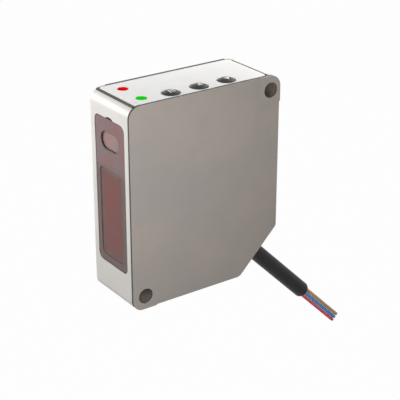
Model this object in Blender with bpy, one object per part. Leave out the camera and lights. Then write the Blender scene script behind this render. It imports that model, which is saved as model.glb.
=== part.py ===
"""Laser displacement sensor: a 20 x 50 x 60 mm housing with a window, three keys and a cable.

Sizes are in millimetres and are turned to metres where a mesh is made. In the building frame x
runs across the width from the far side face, y runs back from the front face and z runs up from
the base. The empty at the end sets the origin of the finished part: on the far side face, midway
between the two mounting holes.
"""

import math

import bmesh
import bpy
from mathutils import Matrix, Vector

for old in list(bpy.data.objects):
    bpy.data.objects.remove(old, do_unlink=True)

MM = 0.001

# Body outline, seen from the side
BODY_WIDTH = 20.0
BODY_DEPTH = 50.0
BODY_HEIGHT = 60.0
CHAMFER = 13.1
R_TOP = 3.5
R_BASE = 2.8
R_CHAMFER_LOW = 2.0
R_CHAMFER_HIGH = 1.2
SIDE_ROUND = 0.6
ARC_STEPS = 7

# Clearances
SEAM = 0.3
SEAL_GAP = 0.1
FIT = 0.2

# Walls and layers
SIDE_WALL = 1.5
SHELL_WALL = 1.6
CHAMFER_WALL = 2.4
LEDGE_THICK = 1.2
COVER_THICK = 0.4
COVER_SEAL_THICK = 0.25
COVER_SEAL_INSET = 0.15
PAD_RISE = 0.4
PAD_CORNER = 1.0

# Mounting holes at two opposite corners, for M4 screws
HOLE_R = 2.25
LOW_HOLE_Y = 3.9
LOW_HOLE_Z = 4.0
HIGH_HOLE_BACK = 3.4
HIGH_HOLE_DROP = 4.2
LUG_WALL_Y = 1.75
LUG_WALL_Z = 1.95

# Window in the front wall
WINDOW_LEFT = 2.3
WINDOW_NEAR_MARGIN = 2.6
WINDOW_BASE = 10.1
WINDOW_DROP = 6.1
R_WINDOW = 2.0
PANE_THICK = 1.5
PANE_SINK = 0.15
PANE_GAP = 0.25
NOTCH_WIDTH = 3.4
NOTCH_RISE = 0.45
WINDOW_SEAL_THICK = 0.25
OPENING_INSET = 1.3
R_OPENING = 1.2

# Laser port and receiver field, moulded into the window
EMITTER_DROP = 6.5
EMITTER_SIDE = 3.05
EMITTER_HEIGHT = 5.0
EMITTER_SINK = 0.4
RECEIVER_SIDE = 1.8
RECEIVER_DROP = 8.4
RECEIVER_MARGIN = 2.2
RECEIVER_SINK = 0.25
R_RECEIVER = 1.6

# Top panel with its keys and lamps
PANEL_THICK = 0.8
PANEL_SEAL_THICK = 0.3
FRONT_LIP = 1.7
FRONT_GROOVE = 0.8
FAR_LIP = 0.4
RIB_WIDTH = 0.35
RIB_DROP = 0.15
R_PANEL = 1.3
KEY_NEAR_INSET = 3.95
KEY_REAR_GAP = 8.3
KEY_ROW_LEAD = 0.4
KEY_COUNT = 3
KEY_R = 2.5
KEY_RIM = 0.1
KEY_DOME = 0.7
KEY_TRAVEL = 0.3
KEY_FLANGE = 0.4
KEY_FLANGE_THICK = 0.5
KEY_STEM_R = 1.1
LAMP_SPREAD = 9.2
LAMP_SHIFT = 0.45
LAMP_Y = 7.1
LAMP_R = 1.4
LAMP_CROWN = 0.12
LAMP_FLANGE = 0.45

# Key switches and the board that carries them
SWITCH_SIZE = 4.2
SWITCH_THICK = 1.6
PLUNGER_R = 0.8
PLUNGER_RISE = 0.5
STEM_LENGTH = 1.2
BOARD_THICK = 1.0
KEY_BOARD_SIDE_GAP = 0.5
LED_SIZE = 1.6
LED_THICK = 0.7
SHELF_THICK = 3.1
SHELF_REACH = 4.0
SHELF_NEAR_GAP = 2.0
SHELF_SCREW_INSET = 3.0
LIP_THICK = 1.0
LIP_REACH = 1.4

# Screws
M2_R = 0.9
M2_HOLE_R = 1.15
M2_HEAD_R = 1.9
M2_HEAD = 1.3
LOW_HEAD = 0.9
SOCKET_R = 0.8
SOCKET_DEPTH = 0.7
THREAD_DEPTH = 3.0

# Triangulation optics
SPOT_DISTANCE = 50.0
LENS_Y = 9.0
LENS_WALL = 1.15
LENS_RIM = 0.6
LENS_SEAT = 1.2
LENS_CROWN = 1.0
FOCAL_LENGTH = 13.0
CHAMBER_STEP = 1.0
RETAINER_WIDTH = 1.2
RETAINER_THICK = 0.9
RETAINER_STEP = 0.3
LENS_FRONT_ROOM = 3.6
LENS_ROOF = 4.0
WAIST_DEPTH = 4.6
CARRIER_FRONT_GAP = 0.3
CARRIER_WALL = 1.2
CARRIER_ROUND = 0.5
CARRIER_FILLET = 1.0
HOOD_MARGIN = 0.5
HOOD_BASE_GAP = 0.6
HOOD_TOP_GAP = 3.4
HOOD_DEPTH = 1.4
SCREW_EDGE = 0.6
SCREW_SEAT_GAP = 3.6
WAIST_SCREW_Y = 1.2
WAIST_SCREW_Z = 0.4
SEAT_HALF = 8.5
CHIP_LENGTH = 9.0
CHIP_WIDTH = 4.0
CHIP_THICK = 1.2
SENSOR_SCREW_REACH = 6.9
SMALL_SCREW_R = 0.65
SMALL_HOLE_R = 0.85
SMALL_HEAD_R = 1.3
SMALL_HEAD = 0.9
SMALL_SHANK = 2.2
BARREL_R = 3.5
BARREL_LENGTH = 16.0
BARREL_INSET = 0.8
COLLIMATOR_R = 2.4
COLLIMATOR_THICK = 2.0
COLLIMATOR_CROWN = 0.9
COLLIMATOR_SINK = 1.2
BEAM_STEP = 0.6
LASER_BOARD_GAP = 1.6
LASER_BOARD_RIM = 0.8
DIODE_SINK = 0.8
DIODE_R = 2.7
DIODE_CAN_R = 1.9
DIODE_FLANGE = 1.2
DIODE_CAN = 2.5
PIN_R = 0.25
PIN_PROUD = 0.6
PIN_CIRCLE = 1.3

# Main board on four posts
POST_R = 2.2
BOARD_NEAR_GAP = 1.6
POST_BACK = 5.6
WIRE_ROOM = 6.2
POST_HIGH_DROP = 12.0
POST_LOW = 17.5
BOARD_MARGIN = 2.6
PROCESSOR_SIZE = 7.0
PROCESSOR_THICK = 1.0

# Cable, its gland and its three leads
CABLE_R = 2.5
CABLE_LENGTH = 37.0
CABLE_INSIDE = 9.5
CABLE_RISE = 0.3
LEAD_R = 0.575
LEAD_PITCH = 1.22
LEAD_LENGTH = 57.3
GLAND_R = 4.5
GLAND_FLANGE = 1.2
GLAND_LENGTH = 6.0
GLAND_TIP_R = 3.3
GLAND_NECK_R = 3.6
GLAND_EDGE = 0.3
GLAND_INNER_FLANGE = 1.4
CRIMP_THICK = 1.2
CRIMP_LENGTH = 2.4
CONNECTOR_WIDTH = 6.5
CONNECTOR_HEIGHT = 5.0
CONNECTOR_DEPTH = 3.0
CONNECTOR_RISE = 4.5
PORT_PITCH = 1.9
FLEX_THICK = 0.25
FLEX_WIDTH = 3.4
FLEX_CORE = 2.0
FLEX_REACH = 5.0
FLEX_MARGIN = 0.4
FLEX_SOCKET_HEIGHT = 2.2
FLEX_SOCKET_DROP = 1.2

# Places that follow from the sizes above
COVER_X = BODY_WIDTH - COVER_THICK
COVER_SEAL_X1 = COVER_X - SEAL_GAP
COVER_SEAL_X0 = COVER_SEAL_X1 - COVER_SEAL_THICK
RIM_X = COVER_SEAL_X0 - SEAL_GAP
WINDOW_SEAL_Y0 = PANE_SINK + PANE_THICK + SEAL_GAP
WINDOW_SEAL_Y1 = WINDOW_SEAL_Y0 + WINDOW_SEAL_THICK
LEDGE_Y = WINDOW_SEAL_Y1 + SEAL_GAP
CAVITY_FRONT = LEDGE_Y + LEDGE_THICK
CAVITY_BACK = BODY_DEPTH - SHELL_WALL
LOW_HOLE = (LOW_HOLE_Y, LOW_HOLE_Z)
HIGH_HOLE = (BODY_DEPTH - HIGH_HOLE_BACK, BODY_HEIGHT - HIGH_HOLE_DROP)
LOW_LUG_Y = LOW_HOLE_Y + HOLE_R + LUG_WALL_Y
LOW_LUG_Z = LOW_HOLE_Z + HOLE_R + LUG_WALL_Z
HIGH_LUG_Y = HIGH_HOLE[0] - HOLE_R - LUG_WALL_Y
HIGH_LUG_Z = HIGH_HOLE[1] - HOLE_R - LUG_WALL_Z
PANEL_LEDGE = BODY_HEIGHT - PANEL_THICK - PANEL_SEAL_THICK - 2 * SEAL_GAP
PANEL_X0 = FAR_LIP + RIB_WIDTH + 2 * SEAL_GAP
PANEL_Y0 = FRONT_LIP + FRONT_GROOVE
PANEL_Y1 = BODY_DEPTH - R_TOP - SEAM
PANEL_BASE = BODY_HEIGHT - PANEL_THICK
WINDOW_TOP = BODY_HEIGHT - WINDOW_DROP
WINDOW_RIGHT = BODY_WIDTH - WINDOW_NEAR_MARGIN
OPTICS_X = (WINDOW_LEFT + WINDOW_RIGHT) / 2
EMITTER_Z = WINDOW_TOP - EMITTER_DROP
RECEIVER_BASE = WINDOW_BASE + RECEIVER_MARGIN
RECEIVER_TOP = EMITTER_Z - RECEIVER_DROP
KEY_X = BODY_WIDTH - KEY_NEAR_INSET
LAST_KEY_Y = HIGH_LUG_Y - KEY_REAR_GAP
KEY_PITCH = (LAST_KEY_Y - LAMP_Y + KEY_ROW_LEAD) / KEY_COUNT
KEY_HOLE_R = KEY_R + FIT
FLANGE_TOP = PANEL_BASE - SEAM
FLANGE_BASE = FLANGE_TOP - KEY_FLANGE_THICK
STEM_BASE = FLANGE_BASE - STEM_LENGTH
PLUNGER_TOP = STEM_BASE - FIT
SWITCH_TOP = PLUNGER_TOP - PLUNGER_RISE
SWITCH_BASE = SWITCH_TOP - SWITCH_THICK
PLUNGER_BASE = SWITCH_TOP - SWITCH_THICK / 2
KEY_BOARD_TOP = SWITCH_BASE - SEAL_GAP
KEY_BOARD_BASE = KEY_BOARD_TOP - BOARD_THICK
SHELF_TOP = KEY_BOARD_BASE - SEAL_GAP
SHELF_FRONT = HIGH_LUG_Y - SHELF_REACH
SHELF_SCREW_Y = SHELF_FRONT + SHELF_REACH / 2
SOCKET_Z = POST_LOW + CONNECTOR_RISE
MAIN_BOARD_X1 = COVER_X - BOARD_NEAR_GAP
MAIN_BOARD_X0 = MAIN_BOARD_X1 - BOARD_THICK
POST_TOP = MAIN_BOARD_X0 - SEAM
SHELF_END = MAIN_BOARD_X0 - SHELF_NEAR_GAP
CARRIER_FRONT = CAVITY_FRONT + CARRIER_FRONT_GAP
CARRIER_HALF = (WINDOW_RIGHT - WINDOW_LEFT) / 2 - OPENING_INSET - SEAL_GAP
CARRIER_X0 = OPTICS_X - CARRIER_HALF
CARRIER_X1 = OPTICS_X + CARRIER_HALF
LENS_R = CARRIER_HALF - LENS_WALL
BARREL_BORE_R = BARREL_R + FIT
BARREL_FRONT = CARRIER_FRONT + BARREL_INSET
BARREL_BACK = BARREL_FRONT + BARREL_LENGTH
LASER_BOARD_Y = BARREL_BACK + LASER_BOARD_GAP
LASER_END = LASER_BOARD_Y + BOARD_THICK + PIN_PROUD
POST_FRONT_Y = LASER_END + WIRE_ROOM + POST_R
POST_REAR_Y = BODY_DEPTH - POST_BACK
POST_HIGH = BODY_HEIGHT - POST_HIGH_DROP

MATERIALS = {
    "cast_white": ("#DEDDD8", 0.5, 0.0),
    "moulded_white": ("#F1F1EE", 0.45, 0.0),
    "taupe_paint": ("#9B9189", 0.55, 0.0),
    "smoked_window": ("#7A5654", 0.2, 0.0),
    "seal_rubber": ("#35322E", 0.8, 0.0),
    "key_rubber": ("#4A4A49", 0.5, 0.0),
    "black_plastic": ("#1C1C1D", 0.6, 0.0),
    "board_green": ("#1E5A38", 0.5, 0.0),
    "chip_black": ("#202124", 0.5, 0.0),
    "brass": ("#B08D4A", 0.35, 1.0),
    "steel": ("#A9ABAD", 0.35, 1.0),
    "optical_glass": ("#DCE6E4", 0.05, 0.0),
    "red_lamp": ("#E01408", 0.25, 0.0),
    "green_lamp": ("#12D606", 0.25, 0.0),
    "flex_amber": ("#A8641E", 0.45, 0.0),
    "jacket_black": ("#262626", 0.5, 0.0),
    "lead_brown": ("#A9714A", 0.45, 0.0),
    "lead_blue": ("#3A7AC0", 0.45, 0.0),
    "lead_red": ("#DC4350", 0.45, 0.0),
    "white_nylon": ("#E4E1D6", 0.5, 0.0),
}

frame = bpy.data.objects.new("sensor_frame", None)
bpy.context.scene.collection.objects.link(frame)


def linear(channel):
    """Linear value of one sRGB channel from 0 to 255."""
    c = channel / 255
    return c / 12.92 if c <= 0.04045 else ((c + 0.055) / 1.055) ** 2.4


def dress(obj, finish):
    """Give an object its own material of the named finish."""
    code, roughness, metallic = MATERIALS[finish]
    mat = bpy.data.materials.new(obj.name + "_" + finish)
    mat.use_nodes = True
    shader = mat.node_tree.nodes["Principled BSDF"]
    rgb = [linear(int(code[i:i + 2], 16)) for i in (1, 3, 5)]
    shader.inputs["Base Color"].default_value = (*rgb, 1.0)
    shader.inputs["Roughness"].default_value = roughness
    shader.inputs["Metallic"].default_value = metallic
    mat.diffuse_color = (*rgb, 1.0)
    obj.data.materials.append(mat)


def place(name, mesh, finish, location=(0, 0, 0), turn=None):
    """Link a mesh as a named object; without a finish it is a cutter or a blank for one."""
    obj = bpy.data.objects.new(name, mesh)
    bpy.context.scene.collection.objects.link(obj)
    obj.parent = frame
    obj.location = Vector(location) * MM
    if turn is not None:
        obj.rotation_euler = turn
    if finish is None:
        obj.hide_render = True
        obj.display_type = "WIRE"
    else:
        dress(obj, finish)
    return obj


def combine(target, tool, operation="DIFFERENCE"):
    """Cut a tool from a target, or join it on; the tool stays as a hidden guide."""
    step = target.modifiers.new(operation.lower() + "_" + tool.name, "BOOLEAN")
    step.operation = operation
    step.object = tool
    return target


def rounded(corners, inset=0.0, steps=ARC_STEPS):
    """Outline of a polygon, given anticlockwise as (a, b, radius), moved inwards by inset."""
    count = len(corners)
    moved = []
    for i, (a, b, radius) in enumerate(corners):
        here = Vector((a, b))
        before = (here - Vector(corners[i - 1][:2])).normalized()
        after = (Vector(corners[(i + 1) % count][:2]) - here).normalized()
        turn = before.x * after.y - before.y * after.x
        half = math.tan(math.atan2(turn, before.dot(after)) / 2)
        inward = Vector((-before.y, before.x))
        moved.append((here + inset * (inward - before * half), before, after, turn, radius))
    outline = []
    for corner, before, after, turn, radius in moved:
        radius = radius - inset if turn > 0 else radius + inset
        if radius <= 0.01:
            outline.append(corner)
            continue
        angle = math.atan2(turn, before.dot(after))
        reach = radius * math.tan(abs(angle) / 2)
        side = Vector((-before.y, before.x)) * (1 if turn > 0 else -1)
        centre = corner - before * reach + side * radius
        for k in range(steps + 1):
            sweep = Matrix.Rotation(angle * k / steps, 2)
            outline.append(centre + sweep @ (-side * radius))
    return outline


def rectangle(a0, a1, b0, b1, radius=0.0):
    """Corner list of a rectangle with one corner radius."""
    return [(a0, b0, radius), (a1, b0, radius), (a1, b1, radius), (a0, b1, radius)]


def ellipse(a, b, half_a, half_b, steps=32):
    """Outline of an ellipse or a circle."""
    turns = [2 * math.pi * k / steps for k in range(steps)]
    return [Vector((a + half_a * math.cos(t), b + half_b * math.sin(t))) for t in turns]


def obround(a, b, length, height, steps=24):
    """Outline of a slot with round ends that lies along the first axis."""
    radius = height / 2
    reach = length / 2 - radius
    points = []
    for k in range(steps + 1):
        t = math.pi * k / steps - math.pi / 2
        points.append(Vector((a + reach + radius * math.cos(t), b + radius * math.sin(t))))
    for k in range(steps + 1):
        t = math.pi * k / steps + math.pi / 2
        points.append(Vector((a - reach + radius * math.cos(t), b + radius * math.sin(t))))
    return points


def prism(outline, axis, low, high, round_low=0.0):
    """Mesh of an outline drawn out along x, y or z, with its rim at the low end rounded."""
    along = "xyz".index(axis)
    others = [i for i in range(3) if i != along]
    shape = bmesh.new()
    verts = []
    for point in outline:
        place_at = [0.0, 0.0, 0.0]
        place_at[along] = low * MM
        place_at[others[0]] = point[0] * MM
        place_at[others[1]] = point[1] * MM
        verts.append(shape.verts.new(place_at))
    base = shape.faces.new(verts)
    rim = list(base.edges)
    drawn = bmesh.ops.extrude_face_region(shape, geom=[base], use_keep_orig=True)
    moved = [item for item in drawn["geom"] if isinstance(item, bmesh.types.BMVert)]
    travel = [0.0, 0.0, 0.0]
    travel[along] = (high - low) * MM
    bmesh.ops.translate(shape, verts=moved, vec=travel)
    bmesh.ops.recalc_face_normals(shape, faces=shape.faces)
    if round_low > 0:
        bmesh.ops.bevel(shape, geom=rim, offset=round_low * MM, segments=3, profile=0.5,
                        affect="EDGES", clamp_overlap=True)
    mesh = bpy.data.meshes.new("prism")
    shape.to_mesh(mesh)
    shape.free()
    mesh.shade_smooth()
    mesh.set_sharp_from_angle(angle=math.radians(30))
    return mesh


def turned(profile, steps=24, closed=False):
    """Mesh of a profile of (radius, height) pairs turned about z; closed for a ring."""
    shape = bmesh.new()
    verts = [shape.verts.new((r * MM, 0, h * MM)) for r, h in profile]
    edges = [shape.edges.new(pair) for pair in zip(verts, verts[1:])]
    if closed:
        edges.append(shape.edges.new((verts[-1], verts[0])))
    bmesh.ops.spin(shape, geom=verts + edges, cent=(0, 0, 0), axis=(0, 0, 1),
                   angle=2 * math.pi, steps=steps, use_merge=True)
    bmesh.ops.remove_doubles(shape, verts=shape.verts, dist=0.00001)
    bmesh.ops.dissolve_degenerate(shape, edges=shape.edges, dist=0.000001)
    bmesh.ops.recalc_face_normals(shape, faces=shape.faces)
    mesh = bpy.data.meshes.new("turned")
    shape.to_mesh(mesh)
    shape.free()
    mesh.shade_smooth()
    mesh.set_sharp_from_angle(angle=math.radians(35))
    return mesh


def rod(radius, low, high, steps=24):
    """Plain cylinder along z between two heights."""
    return turned([(0, low), (radius, low), (radius, high), (0, high)], steps)


def block(name, x, y, z, finish=None):
    """Box between pairs of x, y and z."""
    return place(name, prism(rounded(rectangle(*y, *z)), "x", *x), finish)


def tilt(direction):
    """Turn that lays local z along a direction in the y-z plane."""
    return (math.atan2(-direction[0], direction[1]), 0, 0)


ACROSS = (0, math.pi / 2, 0)


def body_corners():
    """Side outline of the whole body, anticlockwise, with its corner radii."""
    return [
        (0, 0, R_BASE),
        (BODY_DEPTH - CHAMFER, 0, R_CHAMFER_LOW),
        (BODY_DEPTH, CHAMFER, R_CHAMFER_HIGH),
        (BODY_DEPTH, BODY_HEIGHT, R_TOP),
        (0, BODY_HEIGHT, R_TOP),
    ]


def cavity_corners(top):
    """Side outline of the room inside the tub, which runs round both mounting lugs."""
    slope = BODY_DEPTH - CHAMFER - CHAMFER_WALL * math.sqrt(2)
    return [
        (LOW_LUG_Y, SHELL_WALL, 0),
        (slope + SHELL_WALL, SHELL_WALL, PAD_CORNER),
        (CAVITY_BACK, CAVITY_BACK - slope, PAD_CORNER),
        (CAVITY_BACK, HIGH_LUG_Z, 0),
        (HIGH_LUG_Y, HIGH_LUG_Z, PAD_CORNER),
        (HIGH_LUG_Y, top, 0),
        (CAVITY_FRONT, top, 0),
        (CAVITY_FRONT, LOW_LUG_Z, 0),
        (LOW_LUG_Y, LOW_LUG_Z, PAD_CORNER),
    ]


def bar_along_x(name, at, radius, x0, x1, steps=24):
    """Round bar across the body at a (y, z) place, as a cutter or a shape to join on."""
    return place(name, prism(ellipse(*at, radius, radius, steps), "x", x0, x1), None)


def screw(name, location, turn, length, radius=M2_R, head_r=M2_HEAD_R, head=M2_HEAD):
    """Cap screw whose head sits above z = 0 and whose shank runs down; one turned piece."""
    profile = [
        (0, -length), (radius * 0.7, -length), (radius, -length + radius * 0.5), (radius, 0),
        (head_r, 0), (head_r, head - 0.15), (head_r - 0.15, head), (SOCKET_R, head),
        (SOCKET_R, head - SOCKET_DEPTH), (0, head - SOCKET_DEPTH),
    ]
    return place(name, turned(profile, 12), "steel", location, turn)


def make_housing():
    """Housing: one casting with front wall, lugs, posts and shelves, open to the near side."""
    tub = place("housing", prism(rounded(body_corners()), "x", 0, RIM_X, SIDE_ROUND), "cast_white")
    room = prism(rounded(cavity_corners(BODY_HEIGHT + 1)), "x", SIDE_WALL, RIM_X + 1)
    combine(tub, place("cavity", room, None))
    seat = rounded([
        (FAR_LIP, FRONT_LIP, R_PANEL / 2), (RIM_X + 1, FRONT_LIP, 0),
        (RIM_X + 1, PANEL_Y1 + SEAM, 0), (FAR_LIP, PANEL_Y1 + SEAM, R_PANEL + SEAM),
    ])
    combine(tub, place("panel_seat", prism(seat, "z", PANEL_LEDGE, BODY_HEIGHT + 1), None))
    recess = rounded(rectangle(WINDOW_LEFT, WINDOW_RIGHT, WINDOW_BASE, WINDOW_TOP, R_WINDOW))
    combine(tub, place("window_recess", prism(recess, "y", -1, LEDGE_Y), None))
    combine(tub, place("front_opening", prism(opening_outline(), "y", 0, CAVITY_FRONT + 1), None))
    notch = ellipse(OPTICS_X, WINDOW_TOP, NOTCH_WIDTH / 2, NOTCH_RISE, 24)
    combine(tub, place("pry_notch", prism(notch, "y", -1, LEDGE_Y), None))
    for label, y, z in post_places():
        post = bar_along_x("post_" + label, (y, z), POST_R, SIDE_WALL / 2, POST_TOP)
        combine(tub, post, "UNION")
    for label, y, z in carrier_screw_places():
        boss = bar_along_x("boss_" + label, (y, z), POST_R, SIDE_WALL / 2, CARRIER_X0 - SEAM)
        combine(tub, boss, "UNION")
    shelf = block("rear_shelf", (SIDE_WALL / 2, SHELF_END), (SHELF_FRONT, HIGH_LUG_Y + 1),
                  (SHELF_TOP - SHELF_THICK, SHELF_TOP))
    combine(tub, shelf, "UNION")
    lip = block("front_lip", (CARRIER_X0, CARRIER_X1), (LEDGE_Y + SEAM, CAVITY_FRONT + LIP_REACH),
                (SHELF_TOP - LIP_THICK, SHELF_TOP))
    combine(tub, lip, "UNION")
    for label, y, z in post_places():
        combine(tub, bar_along_x("post_bore_" + label, (y, z), M2_HOLE_R,
                                 POST_TOP - THREAD_DEPTH, POST_TOP + 1, 16))
    for label, y, z in carrier_screw_places():
        combine(tub, bar_along_x("boss_bore_" + label, (y, z), M2_HOLE_R, SIDE_WALL - SEAM,
                                 CARRIER_X0 + 1, 16))
    for label, x in shelf_screws():
        bore = rod(M2_HOLE_R, SHELF_TOP - THREAD_DEPTH + SEAM, SHELF_TOP + 1, 16)
        combine(tub, place("shelf_bore_" + label, bore, None, (x, SHELF_SCREW_Y, 0)))
    for label, at in (("low", LOW_HOLE), ("high", HIGH_HOLE)):
        combine(tub, bar_along_x("mount_bore_" + label, at, HOLE_R, -1, RIM_X + 1))
    neck = rod(GLAND_NECK_R + FIT, -2 * CHAMFER_WALL, CHAMFER_WALL)
    combine(tub, place("gland_bore", neck, None, CABLE_EXIT, tilt(CABLE_DIRECTION)))


def post_places():
    """Names and (y, z) places of the four main board posts."""
    return [("high_rear", POST_REAR_Y, POST_HIGH), ("high_front", POST_FRONT_Y, POST_HIGH),
            ("low_rear", POST_REAR_Y, POST_LOW), ("low_front", POST_FRONT_Y, POST_LOW)]


def opening_outline(extra=0.0):
    """Opening behind the window, with an even margin to the window's edge."""
    inset = OPENING_INSET - extra
    return rounded(rectangle(WINDOW_LEFT + inset, WINDOW_RIGHT - inset, WINDOW_BASE + inset,
                             WINDOW_TOP - inset, R_OPENING))


def make_window():
    """Smoked window pane with the laser port and the receiver field sunk into its face."""
    outline = rounded(rectangle(WINDOW_LEFT + PANE_GAP, WINDOW_RIGHT - PANE_GAP,
                                WINDOW_BASE + PANE_GAP, WINDOW_TOP - PANE_GAP,
                                R_WINDOW - PANE_GAP))
    pane = place("front_window", prism(outline, "y", PANE_SINK, PANE_SINK + PANE_THICK),
                 "smoked_window")
    width = WINDOW_RIGHT - WINDOW_LEFT
    port = obround(OPTICS_X, EMITTER_Z, width - 2 * EMITTER_SIDE, EMITTER_HEIGHT, 14)
    combine(pane, place("laser_port", prism(port, "y", -1, PANE_SINK + EMITTER_SINK), None))
    field = rounded(rectangle(WINDOW_LEFT + RECEIVER_SIDE, WINDOW_RIGHT - RECEIVER_SIDE,
                              RECEIVER_BASE, RECEIVER_TOP, R_RECEIVER))
    combine(pane, place("receiver_field", prism(field, "y", -1, PANE_SINK + RECEIVER_SINK), None))
    seal = place("window_seal", prism(outline, "y", WINDOW_SEAL_Y0, WINDOW_SEAL_Y1), "seal_rubber")
    combine(seal, place("window_seal_room", prism(opening_outline(SEAL_GAP), "y", 0,
                                                  CAVITY_FRONT), None))


def make_cover():
    """Near side cover: a plate with a raised pad round each mounting hole."""
    plate = place("near_side_cover", prism(rounded(body_corners()), "x", COVER_X,
                                           BODY_WIDTH + PAD_RISE), "taupe_paint")
    relief = rounded([
        (-1, LOW_LUG_Z, 0), (LOW_LUG_Y, LOW_LUG_Z, PAD_CORNER), (LOW_LUG_Y, -1, 0),
        (BODY_DEPTH + 1, -1, 0), (BODY_DEPTH + 1, HIGH_LUG_Z, 0),
        (HIGH_LUG_Y, HIGH_LUG_Z, PAD_CORNER), (HIGH_LUG_Y, BODY_HEIGHT + 1, 0),
        (-1, BODY_HEIGHT + 1, 0),
    ])
    combine(plate, place("pad_relief", prism(relief, "x", BODY_WIDTH, BODY_WIDTH + 1), None))
    for label, at in (("low", LOW_HOLE), ("high", HIGH_HOLE)):
        combine(plate, bar_along_x("cover_bore_" + label, at, HOLE_R, 0, BODY_WIDTH + 1))


def make_cover_seal():
    """Thin seal on the tub's rim, cut to the rim's own outline."""
    seal = place("cover_seal", prism(rounded(body_corners(), COVER_SEAL_INSET), "x", COVER_SEAL_X0,
                                     COVER_SEAL_X1), "seal_rubber")
    room = rounded(cavity_corners(PANEL_LEDGE), -SEAL_GAP)
    combine(seal, place("seal_room", prism(room, "x", 0, BODY_WIDTH), None))
    for label, at in (("low", LOW_HOLE), ("high", HIGH_HOLE)):
        combine(seal, bar_along_x("seal_bore_" + label, at, HOLE_R + SEAL_GAP, 0, BODY_WIDTH))


def key_places():
    """Names and y places of the three keys."""
    first = LAST_KEY_Y - KEY_PITCH * (KEY_COUNT - 1)
    return [(name, first + KEY_PITCH * i) for i, name in enumerate(("mode", "up", "down"))]


def lamp_places():
    """Names and x places of the two lamps, either side of the middle between seal and cover."""
    middle = (PANEL_X0 + RIM_X) / 2 + LAMP_SHIFT
    return [("red", middle - LAMP_SPREAD / 2), ("green", middle + LAMP_SPREAD / 2)]


def make_top_panel():
    """Top panel with holes for the three keys and the two lamps."""
    outline = rounded([
        (PANEL_X0, PANEL_Y0, R_PANEL / 2), (RIM_X, PANEL_Y0, R_PANEL / 2),
        (RIM_X, PANEL_Y1, R_PANEL), (PANEL_X0, PANEL_Y1, R_PANEL),
    ])
    panel = place("top_panel", prism(outline, "z", PANEL_BASE, BODY_HEIGHT), "moulded_white")
    for name, y in key_places():
        bore = rod(KEY_HOLE_R, PANEL_BASE - 1, BODY_HEIGHT + 1, 32)
        combine(panel, place("key_hole_" + name, bore, None, (KEY_X, y, 0)))
    for name, x in lamp_places():
        bore = rod(LAMP_R + FIT, PANEL_BASE - 1, BODY_HEIGHT + 1, 24)
        combine(panel, place("lamp_hole_" + name, bore, None, (x, LAMP_Y, 0)))


def make_panel_seal():
    """Seal under the panel's far, front and rear rims, with a rib that fills the far gap."""
    x0 = FAR_LIP + SEAL_GAP
    base = PANEL_LEDGE + SEAL_GAP
    y0 = PANEL_Y0 + SEAL_GAP
    y1 = PANEL_Y1 - SEAL_GAP
    outline = rounded([(x0, y0, 0), (RIM_X - SEAM, y0, 0), (RIM_X - SEAM, y1, 0),
                       (x0, y1, R_PANEL + SEAM)])
    seal = place("top_panel_seal", prism(outline, "z", base, base + PANEL_SEAL_THICK),
                 "seal_rubber")
    combine(seal, block("panel_seal_room", (SIDE_WALL, RIM_X + 1), (CAVITY_FRONT, HIGH_LUG_Y),
                        (base - 1, BODY_HEIGHT)))
    rib = block("panel_seal_rib", (x0, x0 + RIB_WIDTH), (PANEL_Y0 + SEAL_GAP, PANEL_Y1 - R_PANEL),
                (base + SEAL_GAP, BODY_HEIGHT - RIB_DROP))
    combine(seal, rib, "UNION")


def make_key(name, y):
    """Rubber key on its press axis, with its snap switch and the plunger it pushes."""
    flange_r = KEY_R + KEY_FLANGE
    rim = BODY_HEIGHT + KEY_RIM
    ball = (KEY_R ** 2 + KEY_DOME ** 2) / (2 * KEY_DOME)
    spread = math.asin(KEY_R / ball)
    turns = [spread * (1 - k / 4) for k in range(5)]
    dome = [(ball * math.sin(t), rim + KEY_DOME - ball * (1 - math.cos(t))) for t in turns]
    profile = [(0, STEM_BASE), (KEY_STEM_R, STEM_BASE), (KEY_STEM_R, FLANGE_BASE),
               (flange_r, FLANGE_BASE), (flange_r, FLANGE_TOP), (KEY_R, FLANGE_TOP)]
    profile += dome
    here = (KEY_X, y, BODY_HEIGHT)
    lowered = [(r, h - BODY_HEIGHT) for r, h in profile]
    place(name + "_key", turned(lowered, 24), "key_rubber", here)
    plunger = [(0, PLUNGER_BASE), (PLUNGER_R, PLUNGER_BASE), (PLUNGER_R, PLUNGER_TOP),
               (0, PLUNGER_TOP)]
    place(name + "_switch_plunger", turned([(r, h - BODY_HEIGHT) for r, h in plunger], 16),
          "black_plastic", here)
    half = SWITCH_SIZE / 2
    outline = rounded(rectangle(KEY_X - half, KEY_X + half, y - half, y + half, 0.4), 0, 2)
    switch = place(name + "_switch", prism(outline, "z", SWITCH_BASE, SWITCH_TOP), "chip_black")
    well = rod(PLUNGER_R + FIT, PLUNGER_BASE - KEY_TRAVEL - FIT, SWITCH_TOP + 1, 16)
    combine(switch, place("plunger_well_" + name, well, None, (KEY_X, y, 0)))


def make_lamp(name, x):
    """Light pipe in the panel with the light-emitting diode under it."""
    flange = LAMP_R + LAMP_FLANGE
    foot = KEY_BOARD_TOP + LED_THICK + 3 * SEAL_GAP
    profile = [(0, foot), (LAMP_R - FIT, foot), (LAMP_R - FIT, FLANGE_BASE), (flange, FLANGE_BASE),
               (flange, FLANGE_TOP), (LAMP_R, FLANGE_TOP), (LAMP_R, BODY_HEIGHT),
               (LAMP_R * 0.6, BODY_HEIGHT + LAMP_CROWN * 0.7), (0, BODY_HEIGHT + LAMP_CROWN)]
    place(name + "_light_pipe", turned(profile, 24), name + "_lamp", (x, LAMP_Y, 0))
    half = LED_SIZE / 2
    block(name + "_led", (x - half, x + half), (LAMP_Y - half / 2, LAMP_Y + half / 2),
          (KEY_BOARD_TOP + SEAL_GAP, KEY_BOARD_TOP + SEAL_GAP + LED_THICK), "white_nylon")


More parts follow.
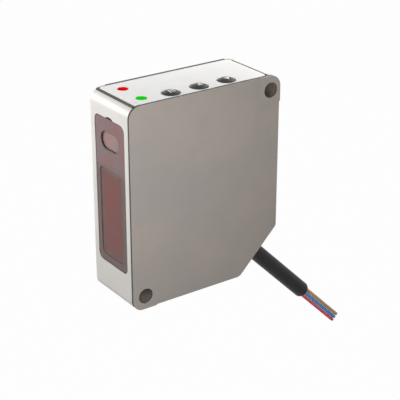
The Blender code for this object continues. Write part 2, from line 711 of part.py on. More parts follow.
def shelf_screws():
    """Names and x places of the two screws that hold the key board on the rear shelf."""
    return [("far", SIDE_WALL + SHELF_SCREW_INSET), ("near", SHELF_END - SHELF_SCREW_INSET)]


def make_key_board():
    """Circuit board under the top panel, screwed to the rear shelf and held by the front lip."""
    outline = rounded(rectangle(SIDE_WALL + KEY_BOARD_SIDE_GAP, COVER_SEAL_X0 - KEY_BOARD_SIDE_GAP,
                                CAVITY_FRONT + SEAM, HIGH_LUG_Y - SEAM, 0.6), 0, 2)
    board = place("key_board", prism(outline, "z", KEY_BOARD_BASE, KEY_BOARD_TOP), "board_green")
    for label, x in shelf_screws():
        bore = rod(M2_HOLE_R, KEY_BOARD_BASE - 1, KEY_BOARD_TOP + 1, 16)
        combine(board, place("key_board_bore_" + label, bore, None, (x, SHELF_SCREW_Y, 0)))
        screw("key_board_screw_" + label, (x, SHELF_SCREW_Y, KEY_BOARD_TOP + SEAL_GAP), None,
              BOARD_THICK + THREAD_DEPTH - 2 * SEAM)


# Triangulation: the lens looks at the spot, and the image plane tilts to meet the beam
LENS_POINT = Vector((LENS_Y, (RECEIVER_BASE + RECEIVER_TOP) / 2))
SPOT_POINT = Vector((-SPOT_DISTANCE, EMITTER_Z))
VIEW_LINE = (LENS_POINT - SPOT_POINT).normalized()
OBJECT_DISTANCE = (LENS_POINT - SPOT_POINT).length
IMAGE_DISTANCE = 1 / (1 / FOCAL_LENGTH - 1 / OBJECT_DISTANCE)
IMAGE_POINT = LENS_POINT + VIEW_LINE * IMAGE_DISTANCE
LENS_PLANE = Vector((-VIEW_LINE.y, VIEW_LINE.x))
MEETING_POINT = LENS_POINT + LENS_PLANE * ((EMITTER_Z - LENS_POINT.y) / LENS_PLANE.y)
IMAGE_LINE = (MEETING_POINT - IMAGE_POINT).normalized()
IMAGE_NORMAL = Vector((IMAGE_LINE.y, -IMAGE_LINE.x))
SEAT_OFFSET = FIT + CHIP_THICK


def along_seat(distance, offset=0.0):
    """Point of the (y, z) plane at a distance up the image line and an offset behind it."""
    return IMAGE_POINT + IMAGE_LINE * distance + IMAGE_NORMAL * offset


SEAT_HIGH = along_seat(SEAT_HALF, SEAT_OFFSET)
SEAT_LOW = along_seat(-SEAT_HALF, SEAT_OFFSET)
CARRIER_TOP = EMITTER_Z + BARREL_BORE_R + CARRIER_WALL
CARRIER_WAIST = EMITTER_Z - BARREL_BORE_R - CARRIER_WALL
CARRIER_BASE = min(RECEIVER_BASE - CARRIER_WALL, SEAT_LOW.y - SEAM)
CARRIER_BACK = BARREL_BACK + BARREL_INSET


def carrier_screw_places():
    """Names and (y, z) places of the three screws that hold the optics carrier."""
    low = CARRIER_BASE + POST_R + SCREW_EDGE
    front = CARRIER_FRONT + POST_R
    return [("waist", front + WAIST_SCREW_Y, RECEIVER_TOP + WAIST_SCREW_Z),
            ("low_front", front + SCREW_EDGE, low),
            ("low_rear", SEAT_LOW.x - POST_R - SCREW_SEAT_GAP, low)]


def make_carrier():
    """Optics carrier: one black moulding that sets laser, lens and image sensor to each other."""
    waist_y = LENS_Y + WAIST_DEPTH
    outline = rounded([
        (CARRIER_FRONT, CARRIER_BASE, CARRIER_ROUND), (SEAT_LOW.x, CARRIER_BASE, 0),
        (SEAT_LOW.x, SEAT_LOW.y, 0), (SEAT_HIGH.x, SEAT_HIGH.y, CARRIER_ROUND),
        (waist_y, LENS_POINT.y + LENS_R + LENS_ROOF, CARRIER_FILLET),
        (waist_y, CARRIER_WAIST, CARRIER_FILLET),
        (CARRIER_BACK, CARRIER_WAIST, CARRIER_ROUND), (CARRIER_BACK, CARRIER_TOP, CARRIER_ROUND),
        (CARRIER_FRONT, CARRIER_TOP, CARRIER_ROUND),
    ], 0, 4)
    carrier = place("optics_carrier", prism(outline, "x", CARRIER_X0, CARRIER_X1), "black_plastic")
    bore = place("barrel_bore", rod(BARREL_BORE_R, -1, BODY_DEPTH), None,
                 (OPTICS_X, 0, EMITTER_Z), tilt((1, 0)))
    combine(carrier, bore)
    seat_r = LENS_R + FIT
    wide_r = seat_r + RETAINER_STEP
    chamber_r = LENS_R - CHAMBER_STEP
    seat = [(0, -LENS_FRONT_ROOM), (wide_r, -LENS_FRONT_ROOM), (wide_r, -LENS_SEAT),
            (seat_r, -LENS_SEAT), (seat_r, LENS_SEAT), (chamber_r, LENS_SEAT),
            (chamber_r, IMAGE_DISTANCE + CHAMBER_STEP), (0, IMAGE_DISTANCE + CHAMBER_STEP)]
    lens_bore = place("lens_bore", turned(seat, 32), None, (OPTICS_X, *LENS_POINT), tilt(VIEW_LINE))
    combine(carrier, lens_bore)
    hood_half = LENS_R + HOOD_MARGIN
    hood = rounded(rectangle(OPTICS_X - hood_half, OPTICS_X + hood_half,
                             RECEIVER_BASE + HOOD_BASE_GAP, RECEIVER_TOP - HOOD_TOP_GAP,
                             CARRIER_FILLET), 0, 3)
    combine(carrier, place("receiver_hood", prism(hood, "y", 0, CARRIER_FRONT + HOOD_DEPTH), None))
    half_width = CHIP_WIDTH / 2 + SEAM
    half_length = CHIP_LENGTH / 2 + SEAM
    pocket = block("chip_pocket", (OPTICS_X - half_width, OPTICS_X + half_width),
                   (-half_length, half_length), (-CHAMBER_STEP, SEAT_OFFSET + CHAMBER_STEP))
    pocket.location = Vector((0, *IMAGE_POINT)) * MM
    pocket.rotation_euler = tilt(IMAGE_NORMAL)
    combine(carrier, pocket)
    for label, y, z in carrier_screw_places():
        combine(carrier, bar_along_x("carrier_bore_" + label, (y, z), M2_HOLE_R, 0, BODY_WIDTH))
        screw("carrier_screw_" + label, (CARRIER_X1 + SEAL_GAP, y, z), ACROSS,
              CARRIER_X1 - SIDE_WALL - SEAL_GAP)
    for label, distance in (("high", SENSOR_SCREW_REACH), ("low", -SENSOR_SCREW_REACH)):
        bore_mesh = rod(SMALL_HOLE_R, SEAT_OFFSET - SMALL_SHANK - SEAM, SEAT_OFFSET + THREAD_DEPTH,
                        16)
        combine(carrier, place("seat_bore_" + label, bore_mesh, None,
                               (OPTICS_X, *along_seat(distance)), tilt(IMAGE_NORMAL)))


def make_sensor():
    """Image sensor chip on its tilted board behind the carrier, with two small screws."""
    turn = tilt(IMAGE_NORMAL)
    home = (0, *IMAGE_POINT)
    across = (OPTICS_X - CHIP_WIDTH / 2, OPTICS_X + CHIP_WIDTH / 2)
    chip = block("image_sensor", across, (-CHIP_LENGTH / 2, CHIP_LENGTH / 2),
                 (SEAL_GAP, SEAL_GAP + CHIP_THICK), "chip_black")
    front = SEAT_OFFSET + 2 * SEAL_GAP
    half = CARRIER_HALF - SEAM / 2
    board = block("sensor_board", (OPTICS_X - half, OPTICS_X + half), (-SEAT_HALF, SEAT_HALF),
                  (front, front + BOARD_THICK), "board_green")
    for piece in (chip, board):
        piece.location = Vector(home) * MM
        piece.rotation_euler = turn
    for label, distance in (("high", SENSOR_SCREW_REACH), ("low", -SENSOR_SCREW_REACH)):
        hole = rod(SMALL_HOLE_R, SEAT_OFFSET, front + BOARD_THICK + SEAM, 16)
        combine(board, place("sensor_board_bore_" + label, hole, None,
                             (OPTICS_X, *along_seat(distance)), turn))
        head = along_seat(distance, front + BOARD_THICK + SEAL_GAP)
        screw("sensor_board_screw_" + label, (OPTICS_X, *head), turn, BOARD_THICK + SMALL_SHANK,
              SMALL_SCREW_R, SMALL_HEAD_R, SMALL_HEAD)


def make_laser():
    """Brass barrel with collimating lens, laser diode can and its small drive board."""
    forward = tilt((1, 0))
    home = (OPTICS_X, BARREL_FRONT, EMITTER_Z)
    beam_r = COLLIMATOR_R - BEAM_STEP
    lens_seat = COLLIMATOR_THICK + COLLIMATOR_SINK
    flange_seat = BARREL_LENGTH - DIODE_FLANGE - DIODE_SINK
    can_room = flange_seat - DIODE_CAN - COLLIMATOR_SINK
    barrel = [(COLLIMATOR_R + FIT, 0), (BARREL_R, 0), (BARREL_R, BARREL_LENGTH),
              (DIODE_R + FIT, BARREL_LENGTH), (DIODE_R + FIT, flange_seat),
              (DIODE_CAN_R + FIT, flange_seat), (DIODE_CAN_R + FIT, can_room),
              (beam_r, can_room - COLLIMATOR_SINK), (beam_r, lens_seat),
              (COLLIMATOR_R + FIT, lens_seat)]
    place("laser_barrel", turned(barrel, 24, True), "brass", home, forward)
    lens_back = lens_seat - FIT
    lens_front = lens_back - COLLIMATOR_THICK
    dome = [(COLLIMATOR_R * math.sin(t), lens_front + COLLIMATOR_CROWN * (1 - math.cos(t)))
            for t in [math.pi / 2 * k / 4 for k in range(5)]]
    lens = dome + [(COLLIMATOR_R, lens_back), (0, lens_back)]
    place("collimator_lens", turned(lens, 24), "optical_glass", home, forward)
    seat = flange_seat + FIT
    back = seat + DIODE_FLANGE
    can = [(0, seat - DIODE_CAN), (DIODE_CAN_R, seat - DIODE_CAN), (DIODE_CAN_R, seat),
           (DIODE_R, seat), (DIODE_R, back), (0, back)]
    diode = place("laser_diode", turned(can, 24), "steel", home, forward)
    board_low = LASER_BOARD_Y - BARREL_FRONT
    board = place("laser_board", rod(BARREL_R + LASER_BOARD_RIM, board_low, board_low + BOARD_THICK),
                  "board_green", home, forward)
    for k in range(3):
        angle = 2 * math.pi * k / 3
        spot = (OPTICS_X + PIN_CIRCLE * math.cos(angle), BARREL_FRONT,
                EMITTER_Z + PIN_CIRCLE * math.sin(angle))
        pin = rod(PIN_R, back - DIODE_FLANGE / 2, LASER_END - BARREL_FRONT, 8)
        combine(diode, place("diode_pin_" + str(k), pin, None, spot, forward), "UNION")
        hole = rod(PIN_R + FIT, back, LASER_END - BARREL_FRONT + PIN_PROUD, 12)
        combine(board, place("pin_hole_" + str(k), hole, None, spot, forward))


def make_lens():
    """Receiver lens, crowned on both faces, and the ring that holds it in its seat."""
    turn = tilt(VIEW_LINE)
    home = (OPTICS_X, *LENS_POINT)
    reach = [LENS_R * k / 4 for k in range(5)]
    bulge = [LENS_RIM / 2 + LENS_CROWN * (1 - (r / LENS_R) ** 2) for r in reach]
    front = [(r, -h) for r, h in zip(reach, bulge)]
    back = [(r, h) for r, h in zip(reversed(reach), reversed(bulge))]
    place("receiver_lens", turned(front + back, 24), "optical_glass", home, turn)
    outer = LENS_R + RETAINER_STEP
    inner = outer - RETAINER_WIDTH
    base = -LENS_SEAT - SEAL_GAP
    top = base - RETAINER_THICK
    ring = [(inner, top), (outer, top), (outer, base), (LENS_R - FIT, base),
            (inner, base - RETAINER_THICK / 3)]
    place("lens_retainer", turned(ring, 24, True), "black_plastic", home, turn)


def make_main_board():
    """Main circuit board on the four posts, with its screws, processor and lead socket."""
    outline = rounded(rectangle(POST_FRONT_Y - BOARD_MARGIN, POST_REAR_Y + BOARD_MARGIN,
                                POST_LOW - BOARD_MARGIN, POST_HIGH + BOARD_MARGIN,
                                CARRIER_FILLET), 0, 3)
    board = place("main_board", prism(outline, "x", MAIN_BOARD_X0, MAIN_BOARD_X1), "board_green")
    for label, y, z in post_places():
        combine(board, bar_along_x("board_bore_" + label, (y, z), M2_HOLE_R, 0, BODY_WIDTH))
        screw("main_board_screw_" + label, (MAIN_BOARD_X1 + SEAL_GAP, y, z), ACROSS,
              BOARD_THICK + THREAD_DEPTH - SEAM, head=LOW_HEAD)
    mid_y = (POST_FRONT_Y + POST_REAR_Y) / 2
    mid_z = (POST_LOW + POST_HIGH) / 2
    half = PROCESSOR_SIZE / 2
    block("processor", (MAIN_BOARD_X1 + SEAL_GAP, MAIN_BOARD_X1 + SEAL_GAP + PROCESSOR_THICK),
          (mid_y - half, mid_y + half), (mid_z - half, mid_z + half), "chip_black")
    x1 = MAIN_BOARD_X0 - SEAL_GAP
    half = CONNECTOR_WIDTH / 2
    block("lead_socket", (x1 - CONNECTOR_DEPTH, x1), (mid_y - half, mid_y + half),
          (SOCKET_Z, SOCKET_Z + CONNECTOR_HEIGHT), "white_nylon")


def make_flex():
    """Flat flex from the key board down to its socket on the main board."""
    rear = SHELF_FRONT - SEAM
    front = rear - FLEX_WIDTH
    x1 = MAIN_BOARD_X0 - SEAL_GAP
    turn_x = x1 - FLEX_CORE / 2
    top = KEY_BOARD_BASE - SEAL_GAP
    socket_top = POST_HIGH - FLEX_SOCKET_DROP
    start = turn_x - FLEX_REACH
    path = [(start, top), (start, top - FLEX_THICK), (turn_x - FLEX_THICK, top - FLEX_THICK),
            (turn_x - FLEX_THICK, socket_top + SEAM), (turn_x, socket_top + SEAM), (turn_x, top)]
    place("key_flex", prism([Vector(p) for p in path], "y", front, rear), "flex_amber")
    block("flex_socket", (x1 - FLEX_CORE, x1), (front - FLEX_MARGIN, rear + FLEX_MARGIN),
          (socket_top - FLEX_SOCKET_HEIGHT, socket_top), "white_nylon")


# Cable axis: square to the chamfer, a little above its middle
CABLE_DIRECTION = Vector((1, -1)).normalized()
CABLE_SIDE = Vector((1, 1)).normalized()
EXIT_Y = BODY_DEPTH - CHAMFER / 2 + CABLE_RISE
CABLE_EXIT = Vector((BODY_WIDTH / 2, EXIT_Y, EXIT_Y - BODY_DEPTH + CHAMFER))


def make_gland():
    """Rubber gland snapped into the chamfer wall, with a short tapered boot."""
    bore = CABLE_R + FIT
    inner = -CHAMFER_WALL - FIT
    tip = FIT + GLAND_LENGTH
    flange = FIT + GLAND_FLANGE
    end = inner - GLAND_INNER_FLANGE
    profile = [(bore, end), (GLAND_R, end), (GLAND_R, inner), (GLAND_NECK_R, inner),
               (GLAND_NECK_R, FIT), (GLAND_R, FIT), (GLAND_R, flange - GLAND_EDGE),
               (GLAND_R - GLAND_EDGE, flange), (GLAND_NECK_R + GLAND_EDGE, flange),
               (GLAND_TIP_R, tip - GLAND_EDGE), (GLAND_TIP_R - GLAND_EDGE, tip), (bore, tip)]
    place("cable_gland", turned(profile, 24, True), "seal_rubber", CABLE_EXIT,
          tilt(CABLE_DIRECTION))
    back = end - SEAM
    ring = [(bore, back - CRIMP_LENGTH), (CABLE_R + CRIMP_THICK, back - CRIMP_LENGTH),
            (CABLE_R + CRIMP_THICK, back), (bore, back)]
    place("cable_crimp", turned(ring, 24, True), "brass", CABLE_EXIT, tilt(CABLE_DIRECTION))


def cable_point(distance, rank=0):
    """Point beside the cable axis, a number of lead pitches up from its middle."""
    flat = Vector(CABLE_EXIT[1:]) + CABLE_DIRECTION * distance + CABLE_SIDE * (LEAD_PITCH * rank)
    return Vector((CABLE_EXIT[0], flat.x, flat.y))


def tube(name, route, radius, finish, sides=2):
    """Solid round tube along a list of points."""
    curve = bpy.data.curves.new(name, "CURVE")
    curve.dimensions = "3D"
    curve.bevel_depth = radius * MM
    curve.bevel_resolution = sides
    curve.use_fill_caps = True
    spline = curve.splines.new("POLY")
    spline.points.add(len(route) - 1)
    for point, at in zip(spline.points, route):
        point.co = (*(at * MM), 1.0)
    place(name, curve, finish)


def make_jacket():
    """Cable jacket: a plain round cable from inside the housing to its stripped end."""
    run = CABLE_LENGTH + CABLE_INSIDE
    route = [cable_point(-CABLE_INSIDE + run * k / 5) for k in range(6)]
    tube("cable_jacket", route, CABLE_R, "jacket_black", 3)


def make_lead(name, rank):
    """Bare lead past the jacket's end, and the same lead inside from the jacket to the socket."""
    start = CABLE_LENGTH + SEAM
    run = LEAD_LENGTH - start
    finish = "lead_" + name
    tube(name + "_lead", [cable_point(start + run * k / 7, rank) for k in range(8)], LEAD_R, finish)
    port = Vector((MAIN_BOARD_X0 - SEAL_GAP - CONNECTOR_DEPTH / 2,
                   (POST_FRONT_Y + POST_REAR_Y) / 2 + PORT_PITCH * rank, SOCKET_Z - SEAM))
    inner = cable_point(-CABLE_INSIDE - SEAM, rank)
    bend = 0.42 * (port - inner).length
    controls = [port, port - Vector((0, 0, bend)),
                cable_point(-CABLE_INSIDE - SEAM - bend, rank), inner]
    route = []
    for k in range(9):
        t = k / 8
        weights = ((1 - t) ** 3, 3 * t * (1 - t) ** 2, 3 * t * t * (1 - t), t ** 3)
        route.append(sum((w * c for w, c in zip(weights, controls)), Vector((0, 0, 0))))
    tube(name + "_inner_lead", route, LEAD_R, finish)


def build():
    """Make every piece, then set the part's origin."""
    make_housing()
    make_window()
    make_cover()
    make_cover_seal()
    make_top_panel()
    make_panel_seal()
    for name, y in key_places():
        make_key(name, y)
    for name, x in lamp_places():
        make_lamp(name, x)
    make_key_board()
    make_carrier()
    make_sensor()
    make_laser()
    make_lens()
    make_main_board()
    make_flex()
    make_gland()
    make_jacket()
    for name, rank in (("brown", 1), ("blue", 0), ("red", -1)):
        make_lead(name, rank)
    middle = [(a + b) / 2 for a, b in zip(LOW_HOLE, HIGH_HOLE)]
    frame.location = Vector((0, -middle[0], -middle[1])) * MM
    bpy.context.view_layer.update()


build()
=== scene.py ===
"""Looks of the laser displacement sensor: its finishes, its fine shapes, and the studio round it.

Places and sizes are in millimetres of the body: x runs across the width from the far side face,
y runs back from the front face, and z runs up from the base. The helpers turn them to metres in
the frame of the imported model.
"""

import logging
import math
from contextlib import contextmanager
from dataclasses import dataclass, field
from enum import Enum, IntEnum
from typing import Any, Callable, Iterator, Sequence

import bmesh
import bpy
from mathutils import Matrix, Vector


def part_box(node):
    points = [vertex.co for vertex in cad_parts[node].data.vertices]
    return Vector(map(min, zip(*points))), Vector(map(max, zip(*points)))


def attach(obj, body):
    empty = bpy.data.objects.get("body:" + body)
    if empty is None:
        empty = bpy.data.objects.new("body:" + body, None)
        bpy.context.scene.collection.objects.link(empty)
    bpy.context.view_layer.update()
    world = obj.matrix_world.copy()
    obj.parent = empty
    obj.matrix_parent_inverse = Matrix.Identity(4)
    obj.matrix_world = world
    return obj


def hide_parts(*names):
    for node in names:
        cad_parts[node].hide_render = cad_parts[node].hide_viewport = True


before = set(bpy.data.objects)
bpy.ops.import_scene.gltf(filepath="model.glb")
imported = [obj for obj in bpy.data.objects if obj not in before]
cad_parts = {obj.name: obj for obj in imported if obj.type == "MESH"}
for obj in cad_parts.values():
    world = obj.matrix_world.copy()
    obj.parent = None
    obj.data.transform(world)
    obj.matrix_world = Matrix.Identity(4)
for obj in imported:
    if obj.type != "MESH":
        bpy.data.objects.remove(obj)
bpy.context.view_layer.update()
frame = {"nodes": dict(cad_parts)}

LOG = logging.getLogger("sensor_looks")
MM = 0.001
# Place of the frame's origin in the body
ORIGIN = Vector((0.0, 25.25, 29.9))
# Where the cable's axis leaves the chamfer, and the turn that lays an upright axis along it
CABLE_EXIT = (10.0, 43.75, 6.85)
DOWN_THE_CABLE = (math.radians(-135), 0, 0)
# How far a cutter stands past what it cuts
PAST = 1.0
# Number of the second finish on a piece that is painted outside: bare zinc in its room inside, and
# painted shade on the walls of its bores
BARE_AND_BORE_SHADE = 1

Test = Callable[[Vector, Vector], bool]
Pair = tuple[float, float]


class Axis(Enum):
    """Main directions of the body."""

    X = 0
    Y = 1
    Z = 2


class Part(Enum):
    """Kinds of mesh element that can be selected."""

    EDGE = "EDGE"
    FACE = "FACE"


class Body(Enum):
    """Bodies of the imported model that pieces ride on."""

    SENSOR = "sensor_body"
    MODE = "mode_button"
    UP = "up_button"
    DOWN = "down_button"


class Legend(Enum):
    """Marks on the three keys."""

    MENU = "menu"
    UP = "up"
    DOWN = "down"


class PaneFinish(IntEnum):
    """Numbers of the pane's finishes, in the order in which it is dressed."""

    SMOKED = 0
    PORT = 1
    MASK = 2
    FIELD = 3
    # Sides of the pane, in painted shade
    EDGE = 4


# Selecting and shaping


def metres(point: Sequence[float]) -> Vector:
    """Turn a place in the body, in millimetres, into the frame's metres.

    Args:
        point: x, y and z in millimetres.

    Returns:
        The same place in metres, from the frame's origin.
    """
    return (Vector(point) - ORIGIN) * MM


def off_chamfer(distance: float, side: float = 0.0) -> Vector:
    """Return a place along the cable's axis or beside it.

    Args:
        distance: How far out of the chamfer.
        side: How far to the upper side of the axis.

    Returns:
        The place in metres, from the frame's origin.
    """
    share = math.sqrt(0.5)
    x, y, z = CABLE_EXIT
    return metres((x, y + (distance + side) * share, z + (side - distance) * share))


def take_up(piece: bpy.types.Object) -> None:
    """Leave object mode with one piece selected and active.

    Args:
        piece: The object to work on.
    """
    bpy.ops.object.select_all(action="DESELECT")
    piece.select_set(True)
    bpy.context.view_layer.objects.active = piece


@contextmanager
def editing(piece: bpy.types.Object, part: Part) -> Iterator[None]:
    """Hold a piece in edit mode, with nothing selected at first.

    Args:
        piece: The object to edit.
        part: The kind of element to select.

    Yields:
        Nothing; the piece is in edit mode meanwhile.
    """
    take_up(piece)
    bpy.ops.object.mode_set(mode="EDIT")
    bpy.ops.mesh.select_mode(type=part.value)
    bpy.ops.mesh.select_all(action="DESELECT")
    try:
        yield
    finally:
        bpy.ops.object.mode_set(mode="OBJECT")


def pick(piece: bpy.types.Object, part: Part, test: Test) -> None:
    """Select elements of the piece in edit mode by their place and direction.

    Args:
        piece: The object in edit mode.
        part: Edges or faces.
        test: Takes an element's middle in body millimetres and its direction or normal.
    """
    shape = bmesh.from_edit_mesh(piece.data)
    found = False
    for item in (shape.edges if part is Part.EDGE else shape.faces):
        if part is Part.EDGE:
            start, end = (vert.co for vert in item.verts)
            middle, facing = (start + end) / 2, (end - start).normalized()
        else:
            middle, facing = item.calc_center_median(), item.normal
        if test(middle / MM + ORIGIN, facing):
            item.select_set(True)
            found = True
    bmesh.update_edit_mesh(piece.data)
    if not found:
        raise ValueError(f"nothing to select on {piece.name}")


def assign(piece: bpy.types.Object, number: int) -> None:
    """Give the faces selected in edit mode the piece's finish of this number."""
    piece.active_material_index = number
    bpy.ops.object.material_slot_assign()


def paint(piece: bpy.types.Object, number: int, test: Test) -> None:
    """Give chosen faces another of the piece's finishes.

    Args:
        piece: The object to edit.
        number: The finish's number on the piece.
        test: Says which faces.
    """
    with editing(piece, Part.FACE):
        pick(piece, Part.FACE, test)
        assign(piece, number)


def along(axis: Axis, spots: Sequence[Pair], slack: float = 0.02) -> Test:
    """Make a test for edges that run along an axis.

    Args:
        axis: The direction of the edges.
        spots: Where they cross the plane of the other two axes.
        slack: How far off an edge may be.

    Returns:
        A test for pick.
    """
    first, second = (i for i in range(3) if i != axis.value)

    def test(middle: Vector, facing: Vector) -> bool:
        """Tell whether an edge lies on one of the spots."""
        return abs(facing[axis.value]) > 0.99 and any(
            abs(middle[first] - a) < slack and abs(middle[second] - b) < slack for a, b in spots)

    return test


def round_edges(piece: bpy.types.Object, test: Test, reach: float, steps: int = 4) -> None:
    """Round chosen edges.

    Args:
        piece: The object to edit.
        test: Says which edges.
        reach: How far the round reaches along each face.
        steps: Segments across the round.
    """
    with editing(piece, Part.EDGE):
        pick(piece, Part.EDGE, test)
        bpy.ops.mesh.bevel(offset=reach * MM, segments=steps, affect="EDGES", profile=0.5,
                           clamp_overlap=True)


def slice_off(piece: bpy.types.Object, point: Sequence[float], outward: Sequence[float]) -> None:
    """Cut off all that lies outside a plane and close the cut.

    Args:
        piece: The object to edit.
        point: A place on the plane.
        outward: The direction of what goes away.
    """
    with editing(piece, Part.FACE):
        bpy.ops.mesh.select_all(action="SELECT")
        bpy.ops.mesh.bisect(plane_co=metres(point), plane_no=Vector(outward).normalized(),
                            use_fill=True, clear_outer=True, threshold=0.000001)


def settle(piece: bpy.types.Object) -> None:
    """Put a piece's place, turn and scale into its mesh.

    Args:
        piece: The object to settle.
    """
    take_up(piece)
    bpy.ops.object.transform_apply(location=True, rotation=True, scale=True)


def take_new(name: str) -> bpy.types.Object:
    """Name the primitive that was added last and put its place into its mesh.

    Args:
        name: Name of the object.

    Returns:
        The object.
    """
    piece = bpy.context.object
    piece.name = name
    settle(piece)
    return piece


def link_new(name: str, data: bpy.types.ID) -> bpy.types.Object:
    """Put new data into the scene as an object.

    Args:
        name: Name of the object.
        data: Its curve, lamp or camera.

    Returns:
        The object.
    """
    piece = bpy.data.objects.new(name, data)
    bpy.context.scene.collection.objects.link(piece)
    return piece


def modify(piece: bpy.types.Object, kind: str, **settings: Any) -> None:
    """Give a piece a modifier and apply it.

    Args:
        piece: The object to work on.
        kind: Blender's name of the modifier.
        settings: Values by property name.
    """
    take_up(piece)
    step = piece.modifiers.new(kind.lower(), kind)
    for key, value in settings.items():
        setattr(step, key, value)
    bpy.ops.object.modifier_apply(modifier=step.name)


def copied(piece: bpy.types.Object, name: str, shift: Sequence[float]) -> bpy.types.Object:
    """Copy a piece, with a mesh of its own.

    Args:
        piece: The object to copy.
        name: Name of the copy.
        shift: How far the copy is moved, in millimetres.

    Returns:
        The copy.
    """
    take_up(piece)
    bpy.ops.object.duplicate()
    bpy.context.object.location = Vector(shift) * MM
    return take_new(name)


def block(name: str, x: Pair, y: Pair, z: Pair) -> bpy.types.Object:
    """Add a box between pairs of x, y and z.

    Args:
        name: Name of the object.
        x: Low and high x.
        y: Low and high y.
        z: Low and high z.

    Returns:
        The box, with its place in its mesh.
    """
    middle = [(low + high) / 2 for low, high in (x, y, z)]
    size = [(high - low) * MM for low, high in (x, y, z)]
    bpy.ops.mesh.primitive_cube_add(size=1.0, location=metres(middle), scale=size)
    return take_new(name)


def rounded_block(name: str, x: Pair, y: Pair, z: Pair, axis: Axis, radius: float,
                  steps: int = 10) -> bpy.types.Object:
    """Add a box whose four edges along one axis are rounded.

    Args:
        name: Name of the object.
        x: Low and high x.
        y: Low and high y.
        z: Low and high z.
        axis: The direction of the rounded edges.
        radius: Radius of the rounds.
        steps: Segments across each round.

    Returns:
        The rounded box.
    """
    piece = block(name, x, y, z)
    first, second = (pair for i, pair in enumerate((x, y, z)) if i != axis.value)
    round_edges(piece, along(axis, [(a, b) for a in first for b in second]), radius, steps)
    return piece


def rod(name: str, axis: Axis, at: Pair, radius: float, low: float, high: float,
        sides: int = 48) -> bpy.types.Object:
    """Add a round bar along an axis.

    Args:
        name: Name of the object.
        axis: The direction of the bar.
        at: Where it crosses the plane of the other two axes.
        radius: Radius of the bar.
        low: Where it starts along the axis.
        high: Where it ends along the axis.
        sides: Number of sides.

    Returns:
        The bar, with its place in its mesh.
    """
    middle = list(at)
    middle.insert(axis.value, (low + high) / 2)
    turn = {Axis.X: (0, math.pi / 2, 0), Axis.Y: (math.pi / 2, 0, 0), Axis.Z: (0, 0, 0)}[axis]
    bpy.ops.mesh.primitive_cylinder_add(vertices=sides, radius=radius * MM,
                                        depth=(high - low) * MM, location=metres(middle),
                                        rotation=turn)
    return take_new(name)


def combine(piece: bpy.types.Object, tool: bpy.types.Object, join: bool = False) -> None:
    """Cut a tool out of a piece, or join it on, and remove the tool.

    Args:
        piece: The object that stays.
        tool: The object that is used up.
        join: True to join it on.
    """
    modify(piece, "BOOLEAN", operation="UNION" if join else "DIFFERENCE", object=tool)
    bpy.data.objects.remove(tool, do_unlink=True)


def ease(piece: bpy.types.Object, width: float, angle: float = 40.0) -> None:
    """Break every sharp edge of a piece with a small round.

    Args:
        piece: The object to finish.
        width: Width of the round.
        angle: Edges sharper than this many degrees are broken.
    """
    modify(piece, "BEVEL", width=width * MM, segments=2, limit_method="ANGLE",
           angle_limit=math.radians(angle), use_clamp_overlap=True)


def smooth(piece: bpy.types.Object, angle: float = 35.0) -> None:
    """Shade a piece smooth, except over its sharp edges, with its large faces kept flat.

    Args:
        piece: The object to shade.
        angle: Edges sharper than this many degrees stay sharp.
    """
    take_up(piece)
    bpy.ops.object.shade_smooth_by_angle(angle=math.radians(angle), keep_sharp_edges=True)
    modify(piece, "WEIGHTED_NORMAL", keep_sharp=True)


def draw_rings(rings: Sequence[Pair], pivot: Sequence[float]) -> None:
    """Draw the selected ring or face up and down an upright axis, from ring to ring.

    Args:
        rings: Pairs of radius and height in millimetres, the first for what is selected.
        pivot: A place on the axis, in metres.
    """
    for (radius, height), (new_radius, new_height) in zip(rings, rings[1:]):
        rise = (new_height - height) * MM
        bpy.ops.mesh.extrude_region_move(TRANSFORM_OT_translate={"value": (0, 0, rise)})
        grow = new_radius / radius
        bpy.ops.transform.resize(value=(grow, grow, 1), center_override=pivot)


def lathe(name: str, profile: Sequence[Pair], sides: int) -> bpy.types.Object:
    """Turn a closed ring profile about an upright axis.

    Args:
        name: Name of the object.
        profile: Pairs of radius and height, anticlockwise in the plane of radius and height.
        sides: Number of sides.

    Returns:
        The ring, with its axis on the frame's own.
    """
    radius, height = profile[0]
    bpy.ops.mesh.primitive_circle_add(vertices=sides, radius=radius * MM,
                                      location=(0, 0, height * MM))
    piece = take_new(name)
    with editing(piece, Part.EDGE):
        bpy.ops.mesh.select_all(action="SELECT")
        draw_rings([*profile, profile[0]], (0, 0, 0))
        bpy.ops.mesh.select_all(action="SELECT")
        bpy.ops.mesh.remove_doubles(threshold=0.000002)
        bpy.ops.mesh.normals_make_consistent(inside=False)
    return piece


# Finishes


def linear(code: str) -> tuple[float, float, float, float]:
    """Turn an sRGB hex colour into linear values.

    Args:
        code: Colour such as "#9B9189".

    Returns:
        Red, green, blue and a fourth value of 1.
    """
    shares = [int(code[i:i + 2], 16) / 255 for i in (1, 3, 5)]
    values = [c / 12.92 if c <= 0.04045 else ((c + 0.055) / 1.055) ** 2.4 for c in shares]
    return (*values, 1.0)


def add_node(tree: bpy.types.NodeTree, kind: str, settings: dict[Any, Any] | None = None,
             links: dict[Any, bpy.types.NodeSocket] | None = None) -> bpy.types.Node:
    """Add a node with its settings and links.

    Args:
        tree: The material's or world's node tree.
        kind: Blender's name of the node.
        settings: Values by socket name, socket number or property name.
        links: Sockets that feed an input, by the input's name or number.

    Returns:
        The node.
    """
    node = tree.nodes.new(kind)
    for key, value in (settings or {}).items():
        if isinstance(key, int) or key in node.inputs:
            node.inputs[key].default_value = value
        else:
            setattr(node, key, value)
    for key, socket in (links or {}).items():
        tree.links.new(socket, node.inputs[key])
    return node


def per_metre(size: float) -> float:
    """Scale of a texture whose features are this many millimetres apart."""
    return 1.0 / (size * MM)


